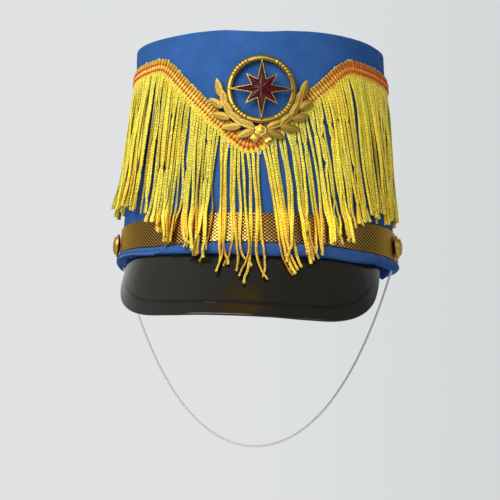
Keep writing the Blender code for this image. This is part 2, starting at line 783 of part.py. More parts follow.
def make_badge_star():
    """Eight-rayed star, four rays long and four short, each with a ridge."""
    work = bmesh.new()
    outline = []
    for i in range(16):
        radius = STAR_WAIST if i % 2 else (STAR_SHORT if i % 4 else STAR_LONG)
        angle = math.pi * i / 8
        outline.append(Vector((radius * math.sin(angle), radius * math.cos(angle), 0.0)))
    low = [work.verts.new(point) for point in outline]
    high = [work.verts.new(point + Vector((0.0, 0.0, STAR_EDGE))) for point in outline]
    under = work.verts.new((0.0, 0.0, 0.0))
    peak = work.verts.new((0.0, 0.0, STAR_PEAK))
    for i in range(16):
        j = (i + 1) % 16
        work.faces.new((low[i], low[j], high[j], high[i]))
        work.faces.new((peak, high[i], high[j]))
        work.faces.new((under, low[j], low[i]))
    radial = [edge for edge in work.edges if peak in edge.verts or under in edge.verts]
    bmesh.ops.subdivide_edges(work, edges=radial, cuts=1)
    bmesh.ops.recalc_face_normals(work, faces=work.faces)
    mesh = bpy.data.meshes.new("badge_star")
    work.to_mesh(mesh)
    work.free()
    wrap_on_crown(add_part("badge_star", mesh, RED_ENAMEL), RING_THICKNESS + GAP)


def make_chin_elastic():
    """Round elastic cord, a whole loop of its real length."""
    half = [Vector((across * MM, ELASTIC_PLANE, height * MM)) for across, height in ELASTIC_ROUTE]
    route = half + [Vector((-point.x, point.y, point.z)) for point in half[-2::-1]]
    curve = bpy.data.curves.new("chin_elastic", "CURVE")
    curve.dimensions = "3D"
    curve.bevel_depth = ELASTIC_RADIUS
    curve.bevel_resolution = 2
    curve.resolution_u = 3
    curve.use_fill_caps = True
    spline = curve.splines.new("BEZIER")
    spline.bezier_points.add(len(route) - 1)
    for point, place in zip(spline.bezier_points, route):
        point.co = place
        point.handle_left_type = point.handle_right_type = "AUTO"
    elastic = bpy.data.objects.new("chin_elastic", curve)
    curve.materials.append(WHITE_ELASTIC)
    PARTS.objects.link(elastic)


def make_hem_tab():
    """End of cloth that hangs beside the elastic."""
    rings = []
    for height, inner, outer, forward in HEM_TAB:
        front = -forward * MM - HEM_TAB_THICKNESS / 2
        back = -forward * MM + HEM_TAB_THICKNESS / 2
        rings.append([Vector((x * MM, y, height * MM)) for x, y in
                      ((inner, front), (outer, front), (outer, back), (inner, back))])
    add_part("hem_tab", solid_mesh("hem_tab", [rings]), BLUE_TWILL)


make_crown_wall()
make_crown_top()
make_hem_binding()
make_gold_band()
make_buttons()
make_peak()
make_fringe()
make_cap_badge()
make_badge_star()
make_chin_elastic()
make_hem_tab()

for piece in PARTS.objects:
    if piece.type == "MESH":
        piece.data.shade_smooth()
        piece.data.set_sharp_from_angle(angle=math.radians(35))
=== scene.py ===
"""Looks of the shako hat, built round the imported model. Metres, +Z up, the front towards -Y."""

import math
import random

import bmesh
import bpy
import numpy as np
from mathutils import Matrix, Vector, noise
from mathutils.bvhtree import BVHTree


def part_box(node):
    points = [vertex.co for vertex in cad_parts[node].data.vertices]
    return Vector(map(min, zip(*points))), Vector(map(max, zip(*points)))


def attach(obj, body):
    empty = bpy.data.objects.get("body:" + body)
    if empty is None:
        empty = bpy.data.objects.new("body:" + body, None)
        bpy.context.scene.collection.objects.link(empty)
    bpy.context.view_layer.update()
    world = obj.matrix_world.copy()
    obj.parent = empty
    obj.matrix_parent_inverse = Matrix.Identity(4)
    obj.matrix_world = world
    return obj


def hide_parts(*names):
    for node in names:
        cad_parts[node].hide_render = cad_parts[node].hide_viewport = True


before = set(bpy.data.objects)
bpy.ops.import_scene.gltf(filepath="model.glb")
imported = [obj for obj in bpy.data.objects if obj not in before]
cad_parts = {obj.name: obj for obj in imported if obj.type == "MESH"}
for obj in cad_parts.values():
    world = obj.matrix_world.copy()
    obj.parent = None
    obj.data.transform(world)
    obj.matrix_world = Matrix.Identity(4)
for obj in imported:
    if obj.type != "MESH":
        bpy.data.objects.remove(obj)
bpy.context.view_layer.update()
MM = 0.001


# Camera, backdrop and light.
# The hat is seen from a little below and a few degrees to the wearer's left, through a long
# lens. Soft light comes from all round, with a broad lamp on the viewer's left.

VIEW_TURN = math.radians(4.5)
VIEW_RISE = math.radians(-8.5)
VIEW_ROLL = math.radians(1.0)
VIEW_DISTANCE = 2.08
LENS = 217.7
AIM_ACROSS = -5.5 * MM
AIM_HEIGHT = 17.5 * MM
LAMP_AIM_HEIGHT = 70 * MM
FLOOR_HEIGHT = -0.45
FLOOR_REACH = 6.0
#         lamp     turn  rise  distance  size  watts  colour     degrees and metres
LAMPS = (("key lamp", -26, 31, 1.5, 1.2, 27.0, (1.0, 0.985, 0.96)),
         ("side lamp", 62, 16, 1.6, 0.7, 3.3, (1.0, 0.99, 0.97)),
         ("back lamp", 165, 35, 1.8, 0.8, 4.0, (1.0, 1.0, 1.0)))


def put(name, data):
    """A new object in the scene."""
    made = bpy.data.objects.new(name, data)
    bpy.context.scene.collection.objects.link(made)
    return made


def away(turn, rise=0.0):
    """Direction away from the crown's axis, at an angle round it and an angle above level."""
    return Vector((math.sin(turn) * math.cos(rise), -math.cos(turn) * math.cos(rise), math.sin(rise)))


camera = put("camera", bpy.data.cameras.new("camera"))
camera.data.lens = LENS
camera.data.sensor_width = 36.0
aim = Vector((math.cos(VIEW_TURN), math.sin(VIEW_TURN), 0.0)) * AIM_ACROSS
aim.z = AIM_HEIGHT
camera.location = aim + away(VIEW_TURN, VIEW_RISE) * VIEW_DISTANCE
camera.rotation_mode = "QUATERNION"
facing = (-away(VIEW_TURN, VIEW_RISE)).to_track_quat("-Z", "Y")
camera.rotation_quaternion = facing @ Matrix.Rotation(VIEW_ROLL, 3, "Z").to_quaternion()
bpy.context.scene.camera = camera
bpy.context.scene.view_settings.view_transform = "Standard"

for name, turn, rise, distance, size, watts, colour in LAMPS:
    lamp = put(name, bpy.data.lights.new(name, "AREA"))
    lamp.data.size, lamp.data.energy, lamp.data.color = size, watts, colour
    out = away(math.radians(turn), math.radians(rise))
    lamp.location = out * distance + Vector((0.0, 0.0, LAMP_AIM_HEIGHT))
    lamp.rotation_euler = (-out).to_track_quat("-Z", "Y").to_euler()


def feed(node, inputs):
    """Gives a node's inputs plain values or other nodes' outputs."""
    for name, value in inputs.items():
        if isinstance(value, bpy.types.NodeSocket):
            node.id_data.links.new(value, node.inputs[name])
        else:
            node.inputs[name].default_value = value


def add(tree, kind, inputs=None, out=0, **settings):
    """Adds a node with its settings and inputs, and returns one of its outputs."""
    node = tree.nodes.new("ShaderNode" + kind)
    for name, value in settings.items():
        setattr(node, name, value)
    feed(node, inputs or {})
    return node.outputs[out]


def parts(tree, vector):
    """The X, Y and Z of a vector."""
    return tuple(add(tree, "SeparateXYZ", {"Vector": vector}).node.outputs)


def maths(tree, operation, *values):
    """A sum on numbers or other nodes' outputs."""
    return add(tree, "Math", dict(enumerate(values)), operation=operation)


def ranged(tree, value, low, high, to_low=0.0, to_high=1.0, ease="LINEAR"):
    """A value stretched from one range to another, and held at its ends."""
    return add(tree, "MapRange", {"Value": value, "From Min": low, "From Max": high, "To Min": to_low,
                                  "To Max": to_high}, interpolation_type=ease)


def speckle(tree, scale, detail, where=None):
    """A noise over the whole piece, or over a given vector."""
    inputs = {"Scale": scale, "Detail": detail}
    return add(tree, "TexNoise", inputs if where is None else {"Vector": where, **inputs})


def ramp(tree, value, *stops):
    """A colour that runs through stops of position, red, green and blue."""
    colour = add(tree, "ValToRGB", {"Fac": value})
    elements = colour.node.color_ramp.elements
    elements[0].position, elements[1].position = stops[0][0], stops[-1][0]
    for position, *rgb in stops[1:-1]:
        elements.new(position)
    for element, (position, *rgb) in zip(elements, stops):
        element.color = (*rgb, 1.0)
    return colour


def blend(tree, share, one, other, way="MIX"):
    """One colour turned into another by a share, or multiplied by it."""
    one, other = ((*colour, 1.0) if isinstance(colour, tuple) else colour for colour in (one, other))
    return add(tree, "Mix", {"Factor": share, "A": one, "B": other}, 2, data_type="RGBA", blend_type=way)


def surface(name, colour, roughness, metallic=0.0):
    """A new material and its node tree."""
    made = bpy.data.materials.new(name)
    made.use_nodes = True
    finish(made.node_tree, {"Base Color": (*colour, 1.0), "Roughness": roughness, "Metallic": metallic})
    return made, made.node_tree


def finish(tree, inputs):
    """Gives a material's shader its inputs."""
    feed(tree.nodes["Principled BSDF"], inputs)


def emboss(tree, height, strength, distance, invert=False):
    """Raises a material's surface where the height is high."""
    finish(tree, {"Normal": add(tree, "Bump", {"Strength": strength, "Distance": distance,
                                               "Height": height}, invert=invert)})


# The room is a soft grey, a little brighter on the viewer's left, with a lit wall behind the hat.
# A warm lampshade high up in front shows as a brown patch low on the glossy peak.
studio = bpy.data.worlds.new("studio")
bpy.context.scene.world = studio
studio.use_nodes = True
tree = studio.node_tree
towards = add(tree, "TexCoord", out="Generated")
across, depth, up = parts(tree, towards)
greys = [(spot, grey, grey * 1.02, grey * 1.04) for spot, grey in ((0.18, 0.43), (0.42, 0.33), (0.62, 0.22))]
room = ramp(tree, ranged(tree, across, -0.9, 0.9), (0.0, 0.36, 0.355, 0.34), *greys,
            (1.0, 0.18, 0.185, 0.195))
wall = blend(tree, ranged(tree, across, -0.08, 0.08), (0.745, 0.76, 0.765), (0.583, 0.615, 0.622))
room = blend(tree, ranged(tree, depth, 0.4, 0.85, ease="SMOOTHSTEP"), room, wall)
ragged = speckle(tree, 17.0, 3.0, towards)
drawn_in = add(tree, "VectorMath", {0: towards, 1: (0.38, 1.0, 1.0)}, operation="MULTIPLY")
from_lamp = add(tree, "VectorMath", {0: drawn_in, 1: (-0.02, -0.29, 0.95)}, "Value", operation="DISTANCE")
lit = ranged(tree, maths(tree, "MULTIPLY_ADD", ragged, 0.22, from_lamp), 0.14, 0.22, 1.0, 0.0, "SMOOTHSTEP")
lampshade = blend(tree, ranged(tree, ragged, 0.52, 0.6), (0.74, 0.38, 0.02), (2.0, 1.1, 0.10))
feed(tree.nodes["Background"], {"Color": blend(tree, lit, room, lampshade)})

floor_paper, tree = surface("pale floor paper", (0.72, 0.73, 0.73), 0.85)
emboss(tree, speckle(tree, 90.0, 4.0), 0.05, 0.002)
floor_mesh = bpy.data.meshes.new("floor")
floor_mesh.from_pydata([(x * FLOOR_REACH, y * FLOOR_REACH, FLOOR_HEIGHT)
                        for x, y in ((-1, -1), (1, -1), (1, 1), (-1, 1))], [], [(0, 1, 2, 3)])
floor_mesh.materials.append(floor_paper)
floor = put("floor", floor_mesh)


# Chin elastic.
# A round elastic in a knitted white cover, stitched to the underside of the hem at both ends.
# It hangs under its own weight.

ELASTIC_DIAMETER = 1.5 * MM
ELASTIC_PLANE = -2.5 * MM
#                 across  height   one half of the hanging line, in mm
ELASTIC_ROUTE = ((92.2, 4.2), (88.3, -8.6), (84.0, -21.6), (79.5, -33.8), (74.5, -46.0), (68.5, -59.0),
                 (61.5, -71.9), (53.5, -84.2), (45.0, -94.8), (36.0, -103.4), (27.0, -109.9),
                 (18.0, -114.3), (9.0, -116.9), (0.0, -117.8))

knit_cover, tree = surface("white knitted elastic", (0.62, 0.63, 0.62), 0.6)
place = add(tree, "NewGeometry", out="Position")
knit = add(tree, "TexVoronoi", {"Scale": 1700.0, "Vector": place}, "Distance")
finish(tree, {"Base Color": ramp(tree, knit, (0.0, 0.90, 0.90, 0.89), (1.0, 0.60, 0.61, 0.62))})
emboss(tree, knit, 0.6, 0.0003, invert=True)

half = [Vector((across * MM, ELASTIC_PLANE, height * MM)) for across, height in ELASTIC_ROUTE]
route = half + [Vector((-point.x, point.y, point.z)) for point in half[-2::-1]]
elastic_curve = bpy.data.curves.new("elastic", "CURVE")
elastic_curve.dimensions = "3D"
elastic_curve.bevel_depth = ELASTIC_DIAMETER / 2
elastic_curve.bevel_resolution = 4
elastic_curve.resolution_u = 12
elastic_curve.use_fill_caps = True
spline = elastic_curve.splines.new("BEZIER")
spline.bezier_points.add(len(route) - 1)
for point, spot in zip(spline.bezier_points, route):
    point.co = spot
    point.handle_left_type = point.handle_right_type = "AUTO"
elastic_curve.materials.append(knit_cover)
elastic = put("knitted_elastic", elastic_curve)
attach(elastic, "root")
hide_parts("chin_elastic")


# Crown.
# A tapered tube of stiff board covered in royal blue twill, with the cloth turned over the rim
# and joined at the back. A flat round of the same cloth is let in below the rim.

CROWN_FOOT_RADIUS = 94.5 * MM
CROWN_RIM_RADIUS = 84.8 * MM
CROWN_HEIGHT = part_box("crown_wall")[1].z
CROWN_WALL = 2.0 * MM
CROWN_START = 1.5 * MM
RIM_SPREAD = 1.3 * MM
COVER_WAVE = 0.35 * MM
#          angle  sag     how far the rim is pressed down at an angle, degrees and mm
RIM_SAG = ((-180, 0.4), (-80, 1.0), (-50, 1.3), (-38, 1.4), (-29, 0.9), (-21, 0.9), (-14, 0.6),
           (-6, 1.6), (1, 2.1), (8, 2.3), (15, 1.1), (23, 0.6), (31, 0.1), (47, 0.1), (58, 0.4),
           (75, 1.4), (95, 1.0), (180, 0.4))
FOOT_RISE = 4.5 * MM
FOOT_RISE_START = math.radians(35)
FOOT_RISE_END = math.radians(85)
FOOT_FADE_HEIGHT = 28.8 * MM
#            angle  tilt     how the foot's edge wanders from level, degrees and mm
FOOT_TILT = ((-180, 0.0), (-90, 0.8), (-55, 1.1), (-42, 0.6), (-30, 0.5), (-15, 0.9), (10, 0.3),
             (22, 0.6), (34, 1.0), (45, -0.4), (57, -2.0), (64, -3.0), (76, -4.0), (95, -2.4),
             (118, 0.0), (180, 0.0))
GAP = 0.3 * MM
COLUMNS = 240


def smooth(value):
    """0 to 1 with soft ends, for numbers and arrays."""
    value = np.clip(value, 0.0, 1.0)
    return value * value * (3 - 2 * value)


def hump(value, middle, width):
    """1 at the middle, falling off softly on both sides."""
    return np.exp(-((value - middle) / width) ** 2)


def crown_radius(height):
    """Outer radius of the crown at a height."""
    return CROWN_FOOT_RADIUS + (CROWN_RIM_RADIUS - CROWN_FOOT_RADIUS) * height / CROWN_HEIGHT


def table_lines(rows, keys, column=1):
    """Straight-line values of one column of a table, for a key or an array of keys."""
    return np.interp(keys, [row[0] for row in rows], [row[column] for row in rows])


def table_eased(rows, degrees, reach):
    """A table's value in millimetres, evened out over a few degrees."""
    return sum(table_lines(rows, degrees + step) for step in (-reach, 0, reach)) / 3 * MM


def foot_rise(angle, height=0.0):
    """How far the crown's foot has risen at an angle, fading out at the band's upper edge."""
    share = smooth((abs(angle) - FOOT_RISE_START) / (FOOT_RISE_END - FOOT_RISE_START))
    tilt = table_lines(FOOT_TILT, math.degrees(angle)) * MM
    return float(FOOT_RISE * share + tilt) * max(1 - height / FOOT_FADE_HEIGHT, 0.0)


def on_crown(angle, off, height):
    """A point that stands off the crown's cone, lifted with the foot."""
    level = height + foot_rise(angle, height)
    radius = crown_radius(level) + off
    return (radius * math.sin(angle), -radius * math.cos(angle), level)


def lofts(name, bodies, uvs, material, ring_loop=False, dyes=None):
    """One object of lofted bodies. bodies is (body, ring, point, 3). uvs has one more point than
    a ring, and one more ring where the rings form a loop, or is None where the finish has no
    weave to line up. dyes is a colour for each point."""
    bodies = np.asarray(bodies, float)
    count, rings, points, _ = bodies.shape
    if uvs is None:
        rows, columns = np.meshgrid(np.arange(rings + ring_loop), np.arange(points + 1), indexing="ij")
        uvs = np.repeat(np.stack([rows, columns], axis=-1)[None], count, axis=0)
    uvs = np.asarray(uvs, float)
    index = np.arange(count * rings * points).reshape(count, rings, points)
    ring = np.arange(rings if ring_loop else rings - 1)
    here, beyond = index[:, ring], index[:, (ring + 1) % rings]
    faces = np.stack([here, np.roll(here, -1, 2), np.roll(beyond, -1, 2), beyond], axis=-1)
    faces = faces.reshape(-1, 4).tolist()
    low, high = uvs[:, ring], uvs[:, ring + 1]
    corners = np.stack([low[:, :, :-1], low[:, :, 1:], high[:, :, 1:], high[:, :, :-1]], axis=-2)
    corners = [corners.reshape(-1, 2)]
    if not ring_loop:
        for body in range(count):
            faces += [index[body, 0, ::-1].tolist(), index[body, -1].tolist()]
            corners += [uvs[body, 0, :points][::-1], uvs[body, -1, :points]]
    mesh = bpy.data.meshes.new(name)
    mesh.from_pydata(bodies.reshape(-1, 3).tolist(), [], faces)
    layer = mesh.uv_layers.new(name="lay")
    layer.data.foreach_set("uv", np.concatenate(corners).astype(np.float32).ravel())
    if dyes is not None:
        colours = np.ones((count * rings * points, 4), np.float32)
        colours[:, :3] = np.asarray(dyes).reshape(-1, 3)
        mesh.color_attributes.new("dye", "FLOAT_COLOR", "POINT").data.foreach_set("color", colours.ravel())
    work = bmesh.new()
    work.from_mesh(mesh)
    bmesh.ops.recalc_face_normals(work, faces=work.faces)
    work.to_mesh(mesh)
    work.free()
    mesh.shade_smooth()
    mesh.materials.append(material)
    made = put(name, mesh)
    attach(made, "root")
    return made


def turned_shell(name, profile, material, place):
    """A shell swept once round the hat. profile has (off, height) points in order round the
    section, and place turns an angle, an off and a height into a point."""
    angles = np.linspace(-math.pi, math.pi, COLUMNS + 1)
    rings = [[place(angle, off, height) for off, height in profile] for angle in angles[:-1]]
    marks = [0.0]
    for (off0, height0), (off1, height1) in zip(profile, profile[1:] + profile[:1]):
        marks.append(marks[-1] + math.hypot(off1 - off0, height1 - height0))
    radius = crown_radius(profile[0][1])
    uvs = [[(angle * radius / MM, mark / MM) for mark in marks] for angle in angles]
    return lofts(name, [rings], [uvs], material, ring_loop=True)


def cloth(name, dark, light, pitch, depth, roughness):
    """A cloth with a fine diagonal twill, its pitch in millimetres."""
    made, tree = surface(name, light, roughness)
    lay = add(tree, "UVMap", uv_map="lay")
    across, along, _ = parts(tree, lay)
    slant = maths(tree, "MULTIPLY", maths(tree, "ADD", across, along), 2 * math.pi / pitch)
    floats = maths(tree, "MULTIPLY", maths(tree, "SUBTRACT", across, along), 4.4 / pitch)
    weave = maths(tree, "MULTIPLY_ADD", maths(tree, "SINE", slant), 0.6, maths(tree, "SINE", floats))
    fuzz = speckle(tree, 1.6, 3.0, lay)
    shade = maths(tree, "MULTIPLY_ADD", weave, 0.24, fuzz)
    level = maths(tree, "MULTIPLY_ADD", speckle(tree, 0.045, 2.0, lay), 0.5, shade)
    finish(tree, {"Base Color": blend(tree, ranged(tree, level, 0.45, 1.05), dark, light),
                  "Specular IOR Level": 0.04})
    emboss(tree, maths(tree, "MULTIPLY_ADD", fuzz, 0.5, weave), 0.5, depth)
    return made


blue_twill = cloth("royal blue twill", (0.0115, 0.055, 0.187), (0.046, 0.143, 0.415), 1.3, 0.00016, 0.8)
grey_board, tree = surface("grey crown board", (0.42, 0.41, 0.38), 0.9)
emboss(tree, speckle(tree, 700.0, 5.0), 0.25, 0.0003)


def crown_point(angle, off, height):
    """A point of the covered wall, with the slight waves that pasted cloth has."""
    wave = noise.noise(Vector((2.6 * math.sin(angle), 2.6 * math.cos(angle), height * 14)))
    flare = smooth((height - 0.05) / 0.09)
    outside = off > -1 * MM
    x, y, z = on_crown(angle, off + COVER_WAVE * wave * flare * outside, height)
    near_rim = smooth((height - CROWN_HEIGHT + 24 * MM) / (24 * MM))
    ripple = 0.2 * MM * noise.noise(Vector((9 * math.sin(angle), 9 * math.cos(angle), 3.0)))
    z -= near_rim * (table_eased(RIM_SAG, math.degrees(angle), 3) + abs(ripple))
    seam = hump(abs(angle), math.pi, 0.006)
    spread = RIM_SPREAD * near_rim * hump(angle, -1.5, 0.6)
    grown = 1 + (spread - COVER_WAVE * seam * outside) / CROWN_RIM_RADIUS
    return (x * grown, y * grown, z)


wall_profile = [(0.0, CROWN_START)]
wall_profile += [(0.0, CROWN_HEIGHT * share) for share in np.linspace(0.08, 0.95, 16)]
wall_profile += [(0.0, CROWN_HEIGHT - 1.2 * MM)]
for lean in np.radians(range(0, 181, 30)):
    wall_profile.append((-CROWN_WALL / 2 * (1 - math.cos(lean)),
                         CROWN_HEIGHT - 1.0 * MM * (1 - math.sin(lean))))
wall_profile += [(-CROWN_WALL, CROWN_HEIGHT * share) for share in (0.97, 0.96, 0.5, 0.2)]
wall_profile += [(-CROWN_WALL, CROWN_START)]
crown = turned_shell("crown_cloth", wall_profile, blue_twill, crown_point)
crown.data.materials.append(grey_board)
for face in crown.data.polygons:
    middle = face.center
    inside = math.hypot(middle.x, middle.y) < crown_radius(middle.z) - CROWN_WALL * 0.9
    face.material_index = int(inside and middle.z < CROWN_HEIGHT * 0.965)
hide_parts("crown_wall")

top_low, top_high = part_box("crown_top")
lid_profile = [(share, top_high.z - 0.7 * MM * (share > 0.98) - 0.5 * MM * hump(share, 0.97, 0.012))
               for share in (0.0005, 0.003, 0.25, 0.5, 0.75, 0.9, 0.97, 1.0)]
lid_profile += [(1.0, top_low.z), (0.0005, top_low.z)]
disc, disc_uvs = [], []
for angle in np.linspace(-math.pi, math.pi, COLUMNS + 1):
    x, y, z = crown_point(angle, 0.05 * MM - CROWN_WALL, top_high.z)
    disc.append([(x * share, y * share, height) for share, height in lid_profile])
    disc_uvs.append([(x * share / MM, y * share / MM) for share, _ in lid_profile + lid_profile[:1]])
crown_lid = lofts("crown_lid_cloth", [disc[:-1]], [disc_uvs], blue_twill, ring_loop=True)
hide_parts("crown_top")


# Hem.
# A strip of the same blue cloth, lightly padded, folded round the crown's lower edge and sewn
# through near its upper edge. It hangs a little lower on both sides of the peak.

HEM_HEIGHT = 8.0 * MM
HEM_TURN_UP = 10.0 * MM
HEM_CLOTH = 1.0 * MM
HEM_BULGE = 2.6 * MM
HEM_LOWER_FROM = math.radians(40)
#            angle  rise     how the hem's lower edge wanders from its own foot, degrees and mm
HEM_RISE = ((-180, 0.0), (-100, -0.2), (-80, 1.2), (-66, 3.0), (-56, 3.4), (-48, 2.7), (-43, 2.6),
            (-34, 2.4), (-25, 1.2), (-15, 0.2), (0, -0.9), (10, -1.1), (22, -0.6), (34, -0.7),
            (48, -0.2), (58, 1.0), (66, 3.0), (78, 3.8), (92, 3.0), (112, 0.8), (180, 0.0))
STITCH_PITCH = 2.9 * MM
STITCH_HEIGHT = 6.9 * MM
THREAD_RADIUS = 0.2 * MM

hem_cloth = cloth("padded hem cloth", (0.012, 0.045, 0.155), (0.056, 0.146, 0.42), 1.1, 0.00016, 0.78)


def hem_rise(angle):
    """How far the hem's lower edge is drawn up at an angle."""
    return table_eased(HEM_RISE, (math.degrees(angle) + 180) % 360 - 180, 2)


def hem_point(angle, off, height):
    """A point of the hem, puckered between its stitches."""
    outer = off > 0.4 * MM
    along = angle * CROWN_FOOT_RADIUS
    pucker = noise.noise(Vector((along / (5.5 * MM), height / (7 * MM), 2.0)))
    quilting = math.cos(2 * math.pi * along / STITCH_PITCH) * hump(height, STITCH_HEIGHT, 1.1 * MM)
    swell = (0.28 * MM * pucker + 0.10 * MM * quilting) if outer else 0.0
    x, y, z = on_crown(angle, off + swell, height)
    z += max(1 - height / (7 * MM), 0.0) * hem_rise(angle)
    if outer:
        low = max(1 - height / (6 * MM), 0.0)
        drop = smooth((-angle - HEM_LOWER_FROM) / math.radians(1.6)) * 1.1 * MM
        z -= low * (drop + 0.35 * MM * noise.noise(Vector((along / (16 * MM), 7.0, 0.0))))
    return (x, y, z)


hem_profile = [(GAP, HEM_HEIGHT), (GAP + 0.55 * HEM_CLOTH, HEM_HEIGHT + 0.15 * MM),
               (GAP + HEM_CLOTH, HEM_HEIGHT - 0.3 * MM)]
for lean in np.radians(range(62, -91, -19)):
    hem_profile.append((GAP + 0.7 * HEM_CLOTH + (HEM_BULGE - 0.6 * HEM_CLOTH) * math.cos(lean) ** 0.8,
                        3.7 * MM + 3.7 * MM * math.sin(lean)))
hem_inner = -CROWN_WALL - GAP - HEM_CLOTH
hem_profile += [(GAP, 0.0), (-0.5 * CROWN_WALL, 0.0), (hem_inner + 0.5 * MM, 0.0),
                (hem_inner, 0.6 * MM), (hem_inner, 0.6 * HEM_TURN_UP), (hem_inner, HEM_TURN_UP - 0.2 * MM),
                (hem_inner + 0.5 * HEM_CLOTH, HEM_TURN_UP),
                (hem_inner + HEM_CLOTH, HEM_TURN_UP - 0.2 * MM), (hem_inner + HEM_CLOTH, 1.2 * MM),
                (GAP, 1.2 * MM)]
hem = turned_shell("padded_hem", hem_profile, hem_cloth, hem_point)
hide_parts("hem_binding")


def turns_of(count):
    """Angles of so many points spaced evenly round a circle."""
    return [2 * math.pi * number / count for number in range(count)]


def thread_ends(name, spots, radius, material):
    """Short threads, each from one point to another with a low hump between them. The hump is
    straight away from the crown where a spot has no third value, its direction."""
    bodies = []
    for start, stop, *outward in spots:
        start, stop = Vector(start), Vector(stop)
        outward = Vector(outward[0] if outward else (start.x, start.y, 0.0)).normalized()
        across = (stop - start).cross(outward).normalized()
        rings = []
        for share in (step / 5 for step in range(6)):
            middle = start.lerp(stop, share) + outward * radius * (1.9 * math.sin(math.pi * share) - 0.7)
            thick = radius * (0.35 + 0.65 * math.sin(math.pi * (0.12 + 0.76 * share)))
            rings.append([middle + across * thick * math.cos(turn) + outward * thick * math.sin(turn)
                          for turn in turns_of(6)])
        bodies.append(rings)
    return lofts(name, bodies, None, material)


def twisted_thread(name, colour, twist=900.0, tones=()):
    """A twisted thread, with the tones of its plies where they can be told apart."""
    made, tree = surface(name, colour, 0.6)
    plies = add(tree, "TexWave", {"Scale": twist, "Distortion": 1.0}, "Fac")
    if tones:
        finish(tree, {"Base Color": ramp(tree, plies, *tones)})
    emboss(tree, plies, 0.4, 0.0001)
    return made


hem_thread = twisted_thread("pale blue hem thread", (0.42, 0.56, 0.78))
stitch_count = round(2 * math.pi * CROWN_FOOT_RADIUS / STITCH_PITCH)
stitches = []
for number in range(stitch_count):
    angle = 2 * math.pi * number / stitch_count - math.pi
    reach = 0.27 * STITCH_PITCH / CROWN_FOOT_RADIUS
    stitches.append([hem_point(angle + side * reach, GAP + HEM_CLOTH + 0.42 * MM, STITCH_HEIGHT)
                     for side in (-1, 1)] + [away(angle) + Vector((0, 0, 0.25))])
for degrees in np.arange(-72, -38, 1.5):
    stitches.append([hem_point(math.radians(degrees + side), GAP + 2.35 * MM, 2.2 * MM)
                     for side in (-0.5, 0.5)])
hem_stitches = thread_ends("hem_stitches", stitches, THREAD_RADIUS, hem_thread)


# Hem tab.
# The cut end of the hem's strip, left hanging inside the hem beside the elastic, and the loose
# end of a red thread on the hem next to it.

tab_low, tab_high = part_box("hem_tab")
TAB_HALF_THICKNESS = 0.45
#       down   inner  outer  forward   shares of the tab's height, then mm
TAB = ((0.0, 82.8, 88.9, 12.0), (0.38, 80.9, 89.5, 12.4), (0.50, 80.5, 90.2, 12.8),
       (0.56, 82.7, 91.0, 13.0), (0.62, 82.0, 90.4, 13.1), (0.72, 82.6, 90.7, 13.3),
       (0.86, 83.7, 89.2, 13.1), (0.95, 84.7, 87.6, 13.1), (1.0, 85.4, 86.6, 13.0))
#         angle  height   of the loose thread, degrees and mm
THREAD = ((61.6, 7.9), (62.1, 7.2), (62.9, 6.3), (62.8, 5.2), (62.4, 4.1), (63.2, 3.0), (63.9, 2.0),
          (63.8, 0.6))

rings, ring_uvs = [], []
quarters = (0, 0.25, 0.5, 0.75, 1)
row = [(share, -1) for share in quarters] + [(share, 1) for share in quarters[::-1]]
for down, inner, outer, forward in TAB:
    level = tab_high.z + (tab_low.z - tab_high.z) * down
    rings.append([((inner + (outer - inner) * share) * MM,
                   (-forward - 0.45 * math.sin(share * 7 + down * 5) * smooth(down * 2)
                    + TAB_HALF_THICKNESS * side) * MM, level) for share, side in row])
    ring_uvs.append([(share * 9, down * 15) for share, side in row + row[:1]])
cut_cloth = cloth("cut hem cloth", (0.006, 0.016, 0.10), (0.045, 0.075, 0.32), 1.6, 0.0003, 0.8)
tab = lofts("cloth_tab", [rings], [ring_uvs], cut_cloth)
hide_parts("hem_tab")

stray_red = twisted_thread("stray red thread", (0.36, 0.03, 0.06))
spots = [hem_point(math.radians(angle), GAP + (1.25 if height > 7.5 else 2.75) * MM, height * MM)
         for angle, height in THREAD]
stray = thread_ends("stray_thread", zip(spots, spots[1:]), THREAD_RADIUS, stray_red)


# Gold band.
# A ribbon of gold foil thread woven in a fine diamond pattern with a firm selvedge, stretched
# round the front and held under the two side buttons.

BAND_BOTTOM = 8.3 * MM
BAND_WIDTH = 20.5 * MM
BAND_THICKNESS = 0.9 * MM
BAND_END = math.radians(94.0)
BAND_LIFT_START = math.radians(89.7)
BAND_END_LIFT = 1.5 * MM
BAND_STATIONS = 150
LATTICE_PITCH = 2.9
LATTICE_ROWS = 2.28
#        off  up     the ribbon's section: shares of its thickness and of its width
BAND = ((0.0, 0.02), (0.55, 0.0), (1.0, 0.015), (1.12, 0.035), (1.0, 0.06), (1.0, 0.3), (1.0, 0.5),
        (1.0, 0.7), (1.0, 0.94), (1.12, 0.965), (1.0, 0.985), (0.55, 1.0), (0.0, 0.98), (0.0, 0.5))

gold_ribbon, tree = surface("gold foil ribbon", (0.6, 0.36, 0.1), 0.34, 1.0)
along, up, _ = parts(tree, add(tree, "UVMap", uv_map="lay"))
dots = [maths(tree, "COSINE", maths(tree, "MULTIPLY", axis, 2 * math.pi / pitch))
        for axis, pitch in ((along, LATTICE_PITCH), (up, LATTICE_ROWS))]
raised = ranged(tree, maths(tree, "MULTIPLY", *dots), -0.3, 0.7)
finish(tree, {"Base Color": ramp(tree, raised, (0.22, 0.09, 0.04, 0.008), (0.55, 0.34, 0.16, 0.018),
                                 (0.85, 0.95, 0.64, 0.22)),
              "Specular Tint": (1.0, 0.78, 0.42, 1.0)})
emboss(tree, raised, 0.35, 0.00022)

